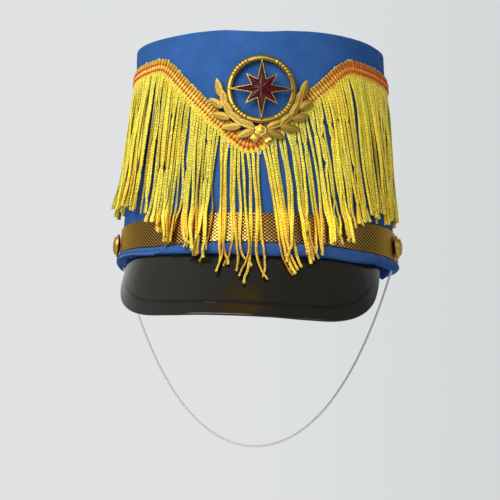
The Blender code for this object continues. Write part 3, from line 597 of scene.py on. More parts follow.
rings, ring_uvs = [], []
for angle in np.linspace(-BAND_END, BAND_END, BAND_STATIONS + 1):
    lift = BAND_END_LIFT * smooth((abs(angle) - BAND_LIFT_START) / (BAND_END - BAND_LIFT_START))
    ring = []
    for off, up in BAND:
        ripple = 0.12 * MM * noise.noise(Vector((angle * 9, up * 1.5, 4.0)))
        ring.append(on_crown(angle, GAP + BAND_THICKNESS * off + lift + ripple * (off > 0.9),
                             BAND_BOTTOM + BAND_WIDTH * up))
    rings.append(ring)
    ring_uvs.append([(angle * 94.0, up * BAND_WIDTH / MM) for off, up in BAND + BAND[:1]])
band = lofts("gold_ribbon", [rings], [ring_uvs], gold_ribbon)
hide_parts("gold_band")


# Side buttons.
# Domed stampings in gold plate, with a rolled edge, a beaded ring and fine rays on the dome.
# Each holds an end of the gold band, with a plain pin that goes through band and wall.

BUTTON_RADIUS = 7.9 * MM
BUTTON_BACK = 1.1 * MM
BUTTON_EDGE = 2.0 * MM
BUTTON_DOME = 5.0 * MM
BUTTON_FOOT = 4.5 * MM
BUTTON_ANGLE = math.radians(84.5)
BUTTON_HEIGHT = BAND_BOTTOM + BAND_WIDTH / 2
BUTTON_COLUMNS = 96
POST_RADIUS = 1.0 * MM
POST_END = 0.8 * MM

gold_plate, tree = surface("bright gold plate", (0.62, 0.39, 0.07), 0.4, 1.0)
spots = speckle(tree, 420.0, 3.0)
finish(tree, {"Base Color": ramp(tree, spots, (0.0, 0.42, 0.24, 0.03), (1.0, 0.74, 0.51, 0.11))})
emboss(tree, spots, 0.12, 0.0003)

button_profile = [(0.05 * MM, BUTTON_DOME)]
for lean in np.radians(90 * np.arange(1, 15) / 14):
    button_profile.append((BUTTON_RADIUS * 0.84 * math.sin(lean),
                           BUTTON_EDGE + (BUTTON_DOME - BUTTON_EDGE) * math.cos(lean)))
for lean in np.radians(range(150, -91, -30)):
    button_profile.append((BUTTON_RADIUS * 0.93 + 0.55 * MM * math.cos(lean),
                           (BUTTON_EDGE + BUTTON_BACK) / 2 + 0.75 * MM * math.sin(lean)))
post = -(2 * GAP + BAND_THICKNESS + CROWN_WALL + POST_END)
button_profile += [(BUTTON_FOOT, 0.0), (POST_RADIUS, 0.0), (POST_RADIUS, post), (0.05 * MM, post)]
taper = math.atan2(CROWN_FOOT_RADIUS - CROWN_RIM_RADIUS, CROWN_HEIGHT)
seat = crown_radius(BUTTON_HEIGHT) + 2 * GAP + BAND_THICKNESS
for name, angle in (("left", BUTTON_ANGLE), ("right", -BUTTON_ANGLE)):
    place = (Matrix.Translation(away(angle) * seat + Vector((0, 0, BUTTON_HEIGHT)))
             @ Matrix.Rotation(angle, 4, "Z") @ Matrix.Rotation(math.pi / 2 - taper, 4, "X"))
    rings = []
    for turn in turns_of(BUTTON_COLUMNS):
        ring = []
        for radius, out in button_profile:
            share = radius / BUTTON_RADIUS
            if out > BUTTON_EDGE:
                rays = abs(math.sin(8 * turn)) * smooth(share * 3) * smooth((0.62 - share) * 8)
                beads = hump(share, 0.68, 0.05) * (0.6 + 0.4 * math.cos(32 * turn))
                out += 0.35 * MM * beads - 0.16 * MM * rays
            ring.append(place @ Vector((radius * math.cos(turn), radius * math.sin(turn), out)))
        rings.append(ring)
    button = lofts(f"stamped_button_{name}", [rings], None, gold_plate, ring_loop=True)
    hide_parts(f"button_{name}")


# Peak.
# One moulding of glossy black plastic, about 2 mm thick, with a rounded lip, a raised line near
# the free edge that ends short of the hem, and a flange sewn inside the hem.

PEAK_THICKNESS = 1.8 * MM
PEAK_FLANGE_TOP = 8.0 * MM
PEAK_ROOT_RADIUS = 95.2 * MM
PEAK_ROOT_END_RADIUS = 91.8 * MM
PEAK_ROOT_HEIGHT = -0.45 * MM
PEAK_ARCH = 2.0 * MM
PEAK_TURN = math.radians(-2.5)
PEAK_SKEW = 0.095
#                angle  radius  drop     of the free edge, degrees and mm
PEAK_SECTIONS = ((0.0, 125.6, 43.2), (11.0, 125.2, 43.2), (22.0, 122.3, 43.2), (33.3, 116.6, 41.6),
                 (44.3, 110.4, 36.0), (55.2, 103.6, 25.5), (63.5, 97.4, 12.0), (69.5, 92.4, 1.0))
PEAK_END = math.radians(PEAK_SECTIONS[-1][0])
RAISED_LINE = 9.5 * MM
RAISED_LINE_HEIGHT = 0.12 * MM
RAISED_LINE_WIDTH = 1.2 * MM
PEAK_COLUMNS = 181
# where the blade is cut across: shares of its length near the root, mm from its free edge
ROOT_CUTS = (0.0, 0.04, 0.1, 0.2, 0.3, 0.42, 0.54)
EDGE_CUTS = (20, 17, 14.5, 12, 11, 10.4, 9.9, 9.5, 9.1, 8.6, 8.0, 7.0, 5.0, 3.0, 1.6, 0.9)


def table_curve(rows, key, column):
    """Smooth value of one column of a table, whose first column is the key."""
    keys = [row[0] for row in rows]
    values = [row[column] for row in rows]
    last = len(rows) - 1
    i = min(max(sum(key >= k for k in keys) - 1, 0), last - 1)
    span = keys[i + 1] - keys[i]

    def slope(n):
        before, after = max(n - 1, 0), min(n + 1, last)
        return (values[after] - values[before]) / (keys[after] - keys[before])

    t = (key - keys[i]) / span
    start = slope(i) if i > 0 else 0.0
    return ((2 * t ** 3 - 3 * t ** 2 + 1) * values[i] + (t ** 3 - 2 * t ** 2 + t) * span * start
            + (3 * t ** 2 - 2 * t ** 3) * values[i + 1] + (t ** 3 - t ** 2) * span * slope(i + 1))


def peak_point(angle, t):
    """Upper face of the blade, from its root at t 0 to its free edge at t 1."""
    degrees = min(math.degrees(abs(angle)), PEAK_SECTIONS[-1][0])
    edge = table_curve(PEAK_SECTIONS, degrees, 1) * MM
    drop = -table_curve(PEAK_SECTIONS, degrees, 2) * (1 + PEAK_SKEW * math.sin(angle)) * MM
    inset = smooth(2.5 * abs(angle) / PEAK_END - 1.5)
    root = PEAK_ROOT_RADIUS + (PEAK_ROOT_END_RADIUS - PEAK_ROOT_RADIUS) * inset
    start = PEAK_ROOT_HEIGHT + foot_rise(angle) + hem_rise(angle)
    arch = PEAK_ARCH * drop / -PEAK_SECTIONS[0][2] / MM
    height = start + (drop - start) * t + 4 * arch * t * (1 - t)
    radius = root + (edge - root) * t
    return Vector((radius * math.sin(angle), -radius * math.cos(angle), height))


def peak_normal(angle, t):
    """Outward normal of the blade's upper face."""
    small = 0.004
    across = peak_point(angle + small, t) - peak_point(angle - small, t)
    down = peak_point(angle, t + small) - peak_point(angle, t - small)
    return down.cross(across).normalized()


black_gloss, tree = surface("glossy black moulding", (0.007, 0.0065, 0.0045), 0.1)
on_line = add(tree, "Attribute", out="Fac", attribute_name="dye")
finish(tree, {"Roughness": ranged(tree, speckle(tree, 22.0, 3.0), 0.3, 0.7, 0.08, 0.15),
              "Specular IOR Level": maths(tree, "MULTIPLY_ADD", on_line, -0.28, 0.5),
              "Specular Tint": (1.0, 0.97, 0.84, 1.0), "IOR": 1.5})
emboss(tree, speckle(tree, 30.0, 1.0), 0.04, 0.003)

flange_inset = CROWN_WALL + 2 * GAP + HEM_CLOTH
peak_spin = Matrix.Rotation(PEAK_TURN, 3, "Z")
rings, ring_dyes = [], []
for angle in np.linspace(-PEAK_END, PEAK_END, PEAK_COLUMNS):
    blade = (peak_point(angle, 1.0) - peak_point(angle, 0.0)).length
    outer, inner, marks = [], [], [0.0, 0.0]
    for height in (PEAK_FLANGE_TOP, float(foot_rise(angle) + hem_rise(angle)) - GAP):
        radius = crown_radius(height) - flange_inset
        outer.append(away(angle) * radius + Vector((0, 0, height)))
        inner.append(away(angle) * (radius - PEAK_THICKNESS) + Vector((0, 0, height)))
    inner[1].z -= PEAK_THICKNESS
    cuts = [max(1 - cut * MM / max(blade, 1 * MM), 0.56 + 0.02 * number)
            for number, cut in enumerate(EDGE_CUTS)]
    reach = smooth((blade - 22 * MM) / (10 * MM))
    for t in (*ROOT_CUTS, *cuts):
        point, normal = peak_point(angle, t), peak_normal(angle, t)
        line = hump((1 - t) * blade, RAISED_LINE, RAISED_LINE_WIDTH) * reach
        outer.append(point + normal * RAISED_LINE_HEIGHT * line)
        inner.append(point - normal * PEAK_THICKNESS)
        marks.append(line)
    edge, normal = peak_point(angle, 1.0), peak_normal(angle, 1.0)
    along = (edge - peak_point(angle, 0.98)).normalized()
    half_thick = PEAK_THICKNESS / 2
    lip = [edge + along * half_thick * (math.cos(lean) - 0.85)
           + normal * half_thick * (1.12 * math.sin(lean) - 1) for lean in np.radians(range(75, -76, -30))]
    ring = outer + lip + inner[::-1]
    rings.append([tuple(peak_spin @ point) for point in ring])
    marks += [0.0] * (len(ring) - len(marks))
    ring_dyes.append([(mark, mark, mark) for mark in marks])
peak = lofts("moulded_peak", [rings], None, black_gloss, dyes=[ring_dyes])
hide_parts("peak")


# Fringe.
# A gimp braid with two rows of red chain stitch and small loops along its edges, and flat
# knitted cords that hang from its lower edge, gather in clumps and splay at their cut ends.

BRAID_WIDTH = 11.4 * MM
BRAID_THICKNESS = 1.35 * MM
BRAID_EASE = math.radians(4.5)
#             angle   height   of the braid's centre line, degrees and mm, corners still sharp
BRAID_LINE = ((-180, 132.3), (-85, 132.0), (-43.5, 132.8), (0, 70.4), (46, 132.8), (90, 129.6),
              (180, 132.3))
RIB_PITCH = 2.6 * MM
RIB_SAMPLES = 8
STITCH_ROWS = (2.6 * MM, -1.1 * MM)
#                across  thick   the braid's section: shares of its half width, and how full it is
BRAID_SECTION = ((0.94, 1), (0.8, 1), (0.62, 1), (0.53, 1), (0.455, 1), (0.38, 1), (0.27, 1), (0.1, 1),
                 (-0.05, 1), (-0.12, 1), (-0.193, 1), (-0.27, 1), (-0.36, 1), (-0.5, 0.93),
                 (-0.68, 0.82), (-0.84, 0.7), (-0.96, 0.58))
CREAM = np.array((1.0, 0.73, 0.12))
YELLOW = np.array((1.0, 0.80, 0.03))
AMBER = np.array((0.82, 0.32, 0.01))
BROWN = np.array((0.20, 0.075, 0.006))


def braid_height(angles):
    """Height of the braid's centre line, with its corners rounded off."""
    near = [np.degrees(angles + BRAID_EASE * (sample / 4 - 1)) for sample in range(9)]
    return sum(table_lines(BRAID_LINE, (degrees + 180) % 360 - 180) for degrees in near) / 9 * MM


fine = np.linspace(-math.pi, math.pi, 7201)
fine_heights = braid_height(fine)
fine_steps = np.hypot(np.diff(fine) * crown_radius(fine_heights)[:-1], np.diff(fine_heights))
fine_marks = np.concatenate([[0.0], np.cumsum(fine_steps)])
BRAID_LENGTH = fine_marks[-1]


def wrapped(angles, radii, heights):
    """Points at angles round the crown's axis."""
    return np.stack([radii * np.sin(angles), -radii * np.cos(angles), heights], axis=-1)


def braid_angle(marks):
    """Angle round the crown at a distance along the braid."""
    return np.interp(marks, fine_marks, fine)


def braid_points(marks, across, off):
    """Points of the braid at distances along it and across it, standing off the cloth."""
    angles = braid_angle(marks)
    small = math.radians(0.5)
    middle = braid_height(angles)
    rise = braid_height(angles + small) - braid_height(angles - small)
    run = 2 * small * crown_radius(middle)
    size = np.hypot(rise, run)
    heights = middle + across * run / size
    turned = angles - across * rise / size / crown_radius(middle)
    return wrapped(turned, crown_radius(heights) + off, heights)


def mixed(one, other, share):
    """One colour turned into another by a share."""
    return one * (1 - share) + other * share


def dyed(tree, tone):
    """The colour painted on a piece's points, darkened or lightened by a tone."""
    return blend(tree, 1.0, add(tree, "Attribute", attribute_name="dye"), tone, "MULTIPLY")


def shiny_yarn(name, roughness):
    """A shiny yarn's material, its tree and its lay."""
    made, tree = surface(name, (0.8, 0.6, 0.06), roughness)
    finish(tree, {"Specular IOR Level": 0.35, "Specular Tint": (1.0, 0.86, 0.35, 1.0)})
    return made, tree, add(tree, "UVMap", uv_map="lay")


braid_yarn, tree, lay = shiny_yarn("gimp braid yarn", 0.42)
strands = add(tree, "TexWave", {"Vector": lay, "Scale": 1.3, "Distortion": 1.5, "Detail": 1.0}, "Fac")
finish(tree, {"Base Color": dyed(tree, ranged(tree, strands, 0.0, 1.0, 0.72, 1.12))})
emboss(tree, strands, 0.5, 0.0001)

rib_count = round(BRAID_LENGTH / RIB_PITCH)
stations = np.arange(rib_count * RIB_SAMPLES + 1)
marks = stations * BRAID_LENGTH / stations[-1]
rib = np.sin(math.pi * (stations % RIB_SAMPLES) / RIB_SAMPLES) ** 0.7
half_width = BRAID_WIDTH / 2
section = [(half_width, 0.35), (half_width + 0.25 * MM, 0.8)]
section += [(half_width * share, thick) for share, thick in BRAID_SECTION]
section += [(-half_width - 0.1 * MM, 0.35), (-half_width, 0.15), (0.0, 0.12)]
rng = random.Random(7)
rib_wander = np.repeat([rng.uniform(-1, 1) for _ in range(rib_count)], RIB_SAMPLES)
rib_wander = np.append(rib_wander, rib_wander[0])
around = np.degrees(braid_angle(marks))
# Painted shade: the braid's crests darker and more orange on the wearer's left and at the point of the V.
painted_side_shade = (smooth((around - 28) / 22) + 0.7 * hump(around, 0, 14))[:, None]
body, dyes, uvs = [], [], []
for across, thick in section:
    sewn = max(hump(across, row, 0.5 * MM) for row in STITCH_ROWS)
    swell = rib * MM * (0.75 * (1 - 0.5 * sewn) if thick > 0.5 else 0.15)
    off = GAP + (BRAID_THICKNESS - 0.65 * MM) * thick - 0.35 * MM * sewn * (thick > 0.5) + swell
    scallop = 0.4 * MM * rib * (across > half_width * 0.9)
    body.append(braid_points(marks, across + 0.22 * MM * rib_wander + scallop, off))
    top_zone = smooth((across - 2.9 * MM) / (0.8 * MM))
    low_zone = smooth((-across - 1.6 * MM) / (2.6 * MM))
    # Painted highlight on the rib crests, and painted shade in the grooves between ribs and where the stitch
    # rows sink in.
    light = np.clip(rib * 1.4 - 0.25 * sewn + 0.15 * rib_wander - 0.38, 0, 1)[:, None]
    low = mixed(mixed(AMBER * 0.36, BROWN * 0.6, top_zone), YELLOW * (0.30, 0.26, 0.3), low_zone)
    high = mixed(CREAM, AMBER * 0.40 + YELLOW * 0.24 + CREAM * 0.18, top_zone)
    high = mixed(high, YELLOW * 0.65 + CREAM * 0.35, low_zone)
    # The painted side shade is weaker between the stitch rows and in the lower zone.
    painted_shade_share = np.clip(painted_side_shade, 0, 1) * (1 - 0.5 * low_zone - 0.5 * hump(across, 0.75 * MM, 0.9 * MM))
    dyes.append(mixed(low * (1 + 0.6 * painted_side_shade), mixed(high, high * (0.87, 0.39, 0.20), painted_shade_share), light))
    uvs.append(np.stack([marks / MM, np.full_like(marks, across / MM)], axis=-1))
braid = lofts("gimp_braid", [np.stack(body, axis=1)[:-1]], [np.stack(uvs + uvs[:1], axis=1)], braid_yarn,
              ring_loop=True, dyes=[np.stack(dyes, axis=1)[:-1]])
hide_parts("fringe")

red_thread = twisted_thread("red chain stitch", (0.60, 0.055, 0.01), 700.0,
                            ((0.0, 0.42, 0.022, 0.003), (1.0, 0.76, 0.075, 0.008)))
#                reach  lower  off   a stitch's half length in ribs, then mm
#                                    (the second kind lies under the first, only at the V)
CHAIN_STITCH = ((0.3, 0.0, 0.65), (0.5, 0.5, 0.85))
stitches = []
for row in STITCH_ROWS:
    for centre in np.arange(rib_count) * BRAID_LENGTH / rib_count:
        at_front = abs(braid_angle(centre)) < math.radians(8)
        for reach, lower, off in CHAIN_STITCH[:1 + at_front]:
            stitches.append([braid_points(centre + side * reach * RIB_PITCH, row - lower * MM,
                                          GAP + off * MM) for side in (-1, 1)])
chain_stitch = thread_ends("red_chain_stitch", stitches, 0.72 * MM, red_thread)


def fibre_yarn(name, colour, roughness, dark, light):
    """A soft yarn with darker and lighter fibres."""
    made, tree = surface(name, colour, roughness)
    finish(tree, {"Base Color": ramp(tree, speckle(tree, 1800.0, 2.0), (0.0, *dark), (1.0, *light))})
    return made


def yarn_loops(name, loops, radius, material):
    """Small loops of yarn: each has its place along the braid, its edge, width and height."""
    steps = 9
    bodies = []
    for mark, across, off, width, height in loops:
        line = []
        for turn in (math.pi * (step / (steps - 1) * 1.24 - 0.12) for step in range(steps)):
            line.append(Vector(braid_points(mark - width * math.cos(turn), across + height * math.sin(turn),
                                            off + 0.3 * MM * math.sin(turn))))
        rings = []
        for step, spot in enumerate(line):
            along = (line[min(step + 1, steps - 1)] - line[max(step - 1, 0)]).normalized()
            out = Vector((spot.x, spot.y, 0.0)).normalized()
            side = along.cross(out).normalized()
            rings.append([spot + radius * (side * math.cos(turn) + out * math.sin(turn))
                          for turn in turns_of(5)])
        bodies.append(rings)
    return lofts(name, bodies, None, material)


pale_yarn = fibre_yarn("pale loop yarn", (0.86, 0.70, 0.36), 0.5, (0.80, 0.50, 0.14), (0.95, 0.86, 0.60))
loops = []
for number in range(rib_count):
    if rng.random() < 0.9:
        loops.append(((number + 0.5 * rng.random()) * BRAID_LENGTH / rib_count, half_width - 0.1 * MM,
                      GAP + rng.uniform(0.5, 1.0) * MM, rng.uniform(0.45, 0.75) * MM,
                      rng.uniform(0.35, 0.95) * MM))
edge_loops = yarn_loops("braid_edge_loops", loops, 0.19 * MM, pale_yarn)

white_yarn = fibre_yarn("white warp yarn", (0.86, 0.84, 0.74), 0.55, (0.72, 0.66, 0.50), (0.95, 0.94, 0.88))
loops = []
for number in range(26):
    angle = math.radians(rng.choice((rng.uniform(-16, 20), rng.uniform(-60, 60), rng.uniform(-60, 60))))
    side = -1 if number % 2 and abs(angle) < math.radians(20) else 1
    loops.append((np.interp(angle, fine, fine_marks), side * half_width - 0.2 * MM,
                  GAP + rng.uniform(0.9, 1.5) * MM, rng.uniform(0.5, 1.0) * MM,
                  side * rng.uniform(1.0, 1.8) * MM))
warp_loops = yarn_loops("braid_warp_loops", loops, 0.17 * MM, white_yarn)

# The cords: each starts inside the braid and follows what is beneath it down to its own length.

CORD_WIDTH = 2.15 * MM
CORD_THICKNESS = 1.0 * MM
CORD_RINGS = 64
CORD_SIDES = 10
HANG_RADIUS = 0.089
CLUMP_RADIUS = 0.088
CORD_TURN = 1.95
#              angle  pitch  length  lean  flare   where the cords are sewn and how their tips
#                                                  swing along and off the crown, degrees and mm
CORD_SWING = ((-180, 2.5, 92.0, 0.0, 1.0), (-100, 2.3, 88.5, 0.0, 2.6), (-75, 2.15, 88.5, -3.0, 3.9),
              (-62, 2.1, 91.0, -3.5, 3.9), (-45, 2.15, 96.0, -4.0, 3.0), (-35, 2.5, 101.0, -4.0, 1.6),
              (-27, 2.7, 98.0, -4.0, 0.9), (-18, 2.9, 94.0, -3.5, 0.4), (-10, 3.0, 89.0, 0.0, 0.4),
              (0, 3.4, 89.0, 5.0, 0.4), (8, 3.4, 91.0, 9.0, 0.4), (15, 3.0, 95.0, 11.0, 0.4),
              (30, 2.7, 98.0, 13.0, 0.7), (50, 2.3, 97.5, 13.0, 1.0), (62, 2.2, 95.5, 12.0, 1.0),
              (75, 2.2, 90.0, 9.0, 0.6), (100, 2.3, 87.0, 4.0, 0.4), (180, 2.5, 92.0, 0.0, 1.0))

carriers = bmesh.new()
for name in ("crown_wall", "gold_band", "hem_binding", "peak"):
    carriers.from_mesh(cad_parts[name].data)
carrier_tree = BVHTree.FromBMesh(carriers)
carriers.free()


def carrier_radius(angle, height):
    """How far out the hat's surface is at an angle and height."""
    hit = carrier_tree.ray_cast(away(angle) * 0.25 + Vector((0, 0, height)), -away(angle), 0.2)
    return math.hypot(hit[0].x, hit[0].y) if hit[0] else crown_radius(height)


rng = random.Random(21)
cord_marks = []
mark = 0.0
while mark < BRAID_LENGTH - 1.2 * MM:
    cord_marks.append(mark)
    mark += table_lines(CORD_SWING, math.degrees(braid_angle(mark))) * MM * rng.uniform(0.85, 1.15)
CORD_COUNT = len(cord_marks)
# From here on a value has a row for each cord, and a column for each ring along it.
roots = braid_angle(cord_marks)[:, None]
tidy_lengths, lean, flare = (table_lines(CORD_SWING, np.degrees(roots), column) * MM
                             for column in (2, 3, 4))
over_peak = hump(np.degrees(roots), 0, 28)
loose = 0.3 + 0.7 * hump(np.degrees(roots), 0, 45)


def scatter(spread):
    """A chance value for each cord."""
    return np.array([rng.gauss(0, spread) for _ in range(CORD_COUNT)])[:, None]


clumps, clump = [], 0
while len(clumps) < CORD_COUNT:
    clumps += [clump] * rng.choice((1, 2, 2, 3, 3, 4, 5))
    clump += 1
clumps = np.array(clumps[:CORD_COUNT])
clump_centre = np.array([roots[clumps == number].mean() for number in clumps])[:, None]
clump_sway = np.array([rng.gauss(0, 1.7 * MM) for _ in range(clump + 1)])[clumps, None]
clump_length = np.array([rng.gauss(0, 2.4 * MM) for _ in range(clump + 1)])[clumps, None]
clump_pull = np.array([rng.uniform(0.2, 0.75) for _ in range(clump + 1)])[clumps, None]
upper = np.array([rng.random() < 0.36 for _ in range(CORD_COUNT)])[:, None] * 1.0
phases = [np.array([rng.uniform(0, 2 * math.pi) for _ in range(CORD_COUNT)])[:, None] for _ in range(5)]
share = np.linspace(0, 1, CORD_RINGS)[None, :]
cut_end = smooth((share - 0.965) / 0.035)
lengths = tidy_lengths + (clump_length + scatter(2.2 * MM)) * (0.4 + 0.6 * loose)
slide = (lean * share ** 0.8
         + (clump_centre - roots) * CLUMP_RADIUS * clump_pull * loose * smooth(share * 5)
         + clump_sway * loose * (1 + 0.7 * over_peak) * share ** 1.3
         + scatter(0.75 * MM) * smooth(share * 4)
         + scatter(1.6 * MM) * np.sin(phases[0] + share * 4.4) * share ** 0.6
         + scatter(0.65 * MM) * np.sin(phases[1] + share * 10) * smooth(share * 3)
         + scatter(1.9 * MM) * (0.6 + over_peak) * smooth((share - 0.74) / 0.26) ** 2)
stand = (1.1 * MM + 0.9 * MM * upper * smooth(share * 9 - 0.3)
         + flare * share ** 1.5
         + np.abs(scatter(0.45 * MM)) * (1 + np.sin(phases[2] + share * 6)) * smooth(share * 3)
         + np.abs(scatter(0.9 * MM)) * smooth((share - 0.62) / 0.38) ** 2)
angles = roots + slide / HANG_RADIUS


def eased(rows):
    """Rows of values with the bends between their ends softened."""
    rows[..., 1:-1] = 0.25 * rows[..., :-2] + 0.5 * rows[..., 1:-1] + 0.25 * rows[..., 2:]
    return rows


# Neighbouring cords at the same depth push one another apart.
for _ in range(30):
    for step in (1, 2, 3):
        apart = (angles[step:] - angles[:-step]) * HANG_RADIUS
        level = np.clip(1.0 - np.abs(stand[step:] - stand[:-step]) / CORD_THICKNESS, 0, 1)
        push = np.clip(CORD_WIDTH * 0.9 - np.abs(apart), 0, None) * level * smooth(share * 6)
        turn = np.where(apart >= 0, 1.0, -1.0) * push * 0.16 / HANG_RADIUS
        angles[step:] += turn
        angles[:-step] -= turn
    eased(angles)

cord_lines = np.zeros((CORD_COUNT, CORD_RINGS, 3))
for number in range(CORD_COUNT):
    step = lengths[number, 0] / (CORD_RINGS - 1)
    height = braid_points(cord_marks[number], -half_width + 2.2 * MM, GAP)[2]
    radii, heights = [], []
    for angle, off in zip(angles[number], stand[number]):
        radius = carrier_radius(angle, height) + off
        if radii:
            slip = (angle - before) * radius
            height -= math.sqrt(max(step ** 2 - slip ** 2 - (radius - radii[-1]) ** 2, (0.35 * step) ** 2))
            radius = max(carrier_radius(angle, height) + off, radii[-1] - 0.3 * MM)
        before = angle
        radii.append(radius)
        heights.append(height)
    radii = np.maximum(eased(eased(eased(np.array(radii)))), np.array(radii) - 0.15 * MM)
    cord_lines[number] = wrapped(angles[number], radii, np.array(heights))


def unit(vectors):
    """Vectors brought to length 1."""
    return vectors / np.linalg.norm(vectors, axis=-1, keepdims=True)


tangents = unit(np.gradient(cord_lines, axis=1))
outward = unit(cord_lines * (1, 1, 0))
outward = unit(outward - tangents * np.sum(outward * tangents, axis=-1, keepdims=True))
sideways = np.cross(tangents, outward)
twist = (scatter(0.30) * np.sin(phases[3] + share * 5) * smooth(share * 5)
         + scatter(0.45) * smooth(share * 2) + scatter(0.8) * smooth((share - 0.6) / 0.4))[..., None]
broad = sideways * np.cos(twist) + outward * np.sin(twist)
thin = outward * np.cos(twist) - sideways * np.sin(twist)
near_band = hump(cord_lines[..., 2], 22 * MM, 10 * MM)
girth = (1 + 0.06 * np.sin(phases[4] + share * 26) - 0.06 * smooth((share - 0.3) / 0.7) + 0.32 * near_band
         + 0.16 * cut_end)[..., None]
turns = turns_of(CORD_SIDES)
bodies = np.stack([cord_lines + thin * girth * CORD_THICKNESS / 2 * math.sin(turn)
                   + broad * girth * CORD_WIDTH / 2 * np.sign(math.cos(turn)) * abs(math.cos(turn)) ** 0.8
                   for turn in turns], axis=2)
uvs = np.zeros((CORD_COUNT, CORD_RINGS, CORD_SIDES + 1, 2))
uvs[..., 0] = np.cos(turns + turns[:1])
uvs[..., 1] = (share * lengths / MM + phases[2])[..., None]

# The cords' colour: yellow, greener here and there, more orange at random and towards the tips, pale at
# the cut ends. Over the gold band it carries a painted orange reflection of the band and painted light
# bounced off it. The lower layer is painted darker as shade, cords at the front a little darker and those
# on both sides lighter, as painted light. The sides of every cord carry painted shade, darkest at a clump's
# outer edges, so that the cords of a clump read as one ribbon, and each cord's front has a pale painted
# highlight beside one edge.
degrees = np.degrees(angles)
warm = np.array([[noise.noise(Vector(tuple(point)) * 32) for point in line] for line in cord_lines[:, ::7]])
warm = np.repeat(warm, 7, axis=1)[:, :CORD_RINGS]
# Painted reflection of the gold band: cords over it turn orange, those of the lower layer most.
painted_band_reflection = near_band * (1.2 - 0.7 * upper) * (0.35 + 0.65 * np.abs(np.sin(phases[1])))
orange_tips = smooth((15 * MM - cord_lines[..., 2]) / (11 * MM)) * (0.3 + 0.55 * np.abs(np.cos(phases[1])))
orange_tint_and_band_reflection = 0.04 + scatter(0.07) + 0.55 * np.clip(warm, 0, 1) + painted_band_reflection * (np.abs(angles) < BAND_END) + orange_tips
olive = np.clip(0.25 + scatter(0.25) - 1.2 * warm - 0.4 * smooth((degrees - 20) / 40), 0, 0.7)[..., None]
cord_colour_and_light = mixed(YELLOW, np.array((0.84, 0.78, 0.09)), olive)
cord_colour_and_light = mixed(cord_colour_and_light, np.array((1.0, 0.44, 0.012)), np.clip(orange_tint_and_band_reflection, 0, 1)[..., None])
# The lower layer of cords is painted darker as shade; the rest of the spread is random.
cord_colour_and_light = cord_colour_and_light * np.clip(0.79 + 0.10 * upper + scatter(0.09), 0.56, 1.0)[..., None]
cord_colour_and_light = mixed(cord_colour_and_light, CREAM, 0.6 * cut_end[..., None])
# Painted light: brighter over the band, as light bounced off it, a little darker at the front, lighter on
# both sides.
cord_colour_and_light = cord_colour_and_light * (1 + 0.66 * near_band - 0.09 * hump(degrees, 0, 25)
                       + 0.24 * smooth((-degrees - 28) / 20) + 0.42 * smooth((degrees - 10) / 40))[..., None]
dyes = np.repeat(np.clip(cord_colour_and_light, 0, 1.35)[:, :, None, :], CORD_SIDES, axis=2)
# A pale painted highlight on the front face of each cord, beside one edge.
dyes[:, :, 1] = mixed(dyes[:, :, 1], np.array((1.0, 0.96, 0.36)), 0.25)
# Painted shade on the cords' sides: deep at the outer edges of a clump, lighter within it, weaker over the
# band.
first = np.append(True, clumps[1:] != clumps[:-1])
last = np.append(clumps[1:] != clumps[:-1], True)
for side, outer, dark, plain in ((0, first, 0.08, 0.7), (CORD_SIDES // 2, last, 0.02, 0.5),
                                 (CORD_SIDES // 2 - 1, last, 0.2, 0.9)):
    dyes[:, :, side] *= np.maximum(np.where(outer, dark, plain)[:, None], 0.6 * near_band)[..., None]

cord_yarn, tree, lay = shiny_yarn("knitted rayon cord", 0.34)
across, along, _ = parts(tree, lay)
aside = maths(tree, "ABSOLUTE", across)
mottle = speckle(tree, 130.0, 3.0)
chevron = maths(tree, "MULTIPLY_ADD", mottle, 1.5, maths(tree, "ADD", aside, along))
stitch = maths(tree, "SINE", maths(tree, "MULTIPLY", chevron, 2 * math.pi / CORD_TURN))
groove = maths(tree, "TANH", maths(tree, "MULTIPLY", aside, 9.0))
knit = maths(tree, "MULTIPLY_ADD", stitch, 0.5, groove)
# Painted shade in the knit's grooves and along each cord's middle, with lighter stitch crests; the mottle is
# the yarn's own uneven tone.
tone = maths(tree, "MULTIPLY", ranged(tree, knit, 0.3, 1.4, 0.62, 1.06),
             ranged(tree, mottle, 0.3, 0.7, 0.56, 1.26))
# Painted shade on the cords' turned-away sides.
tone = maths(tree, "MULTIPLY", tone, ranged(tree, aside, 0.75, 1.0, 1.0, 0.5))
# Painted highlight: the lightest parts turn pale lemon.
shine = ranged(tree, tone, 0.75, 1.05, 0.0, 0.6)
finish(tree, {"Base Color": blend(tree, shine, dyed(tree, tone), (1.0, 0.93, 0.20))})
emboss(tree, knit, 0.45, 0.0003)

for number, name in enumerate(("back_right", "front_right", "front_left", "back_left")):
    part = slice(CORD_COUNT * number // 4, CORD_COUNT * (number + 1) // 4)
    cords = lofts(f"fringe_cords_{name}", bodies[part], uvs[part], cord_yarn, dyes=dyes[part])


# Badge.
# A gold plated stamping with an open ring, two leafy sprays and a ribbon knot, and an eight
# rayed star in dark red enamel between gold edges. A post goes through the wall.

BADGE_ANGLE = math.radians(4.7)
BADGE_HEIGHT = 112.0 * MM
BADGE_STAND_OFF = 2.5 * MM
BADGE_BEND_RADIUS = 90.0 * MM
RING_OUTER = 23.5 * MM
RING_INNER = 19.4 * MM
RING_THICKNESS = 2.2 * MM
RING_MIDDLE = (RING_OUTER + RING_INNER) / 2
RING_LEANS = (-8, 8, 25, 45, 62, 76, 90, 104, 118, 135, 155, 172, 188)
RING_REEDS = 28
LEAF_WIDTH = 5.6 * MM
LEAF_THICKNESS = 1.5 * MM
LEAF_ACROSS = (-1, -0.85, -0.7, -0.55, -0.4, -0.25, -0.1, 0, 0.1, 0.25, 0.4, 0.55, 0.7, 0.85, 1)
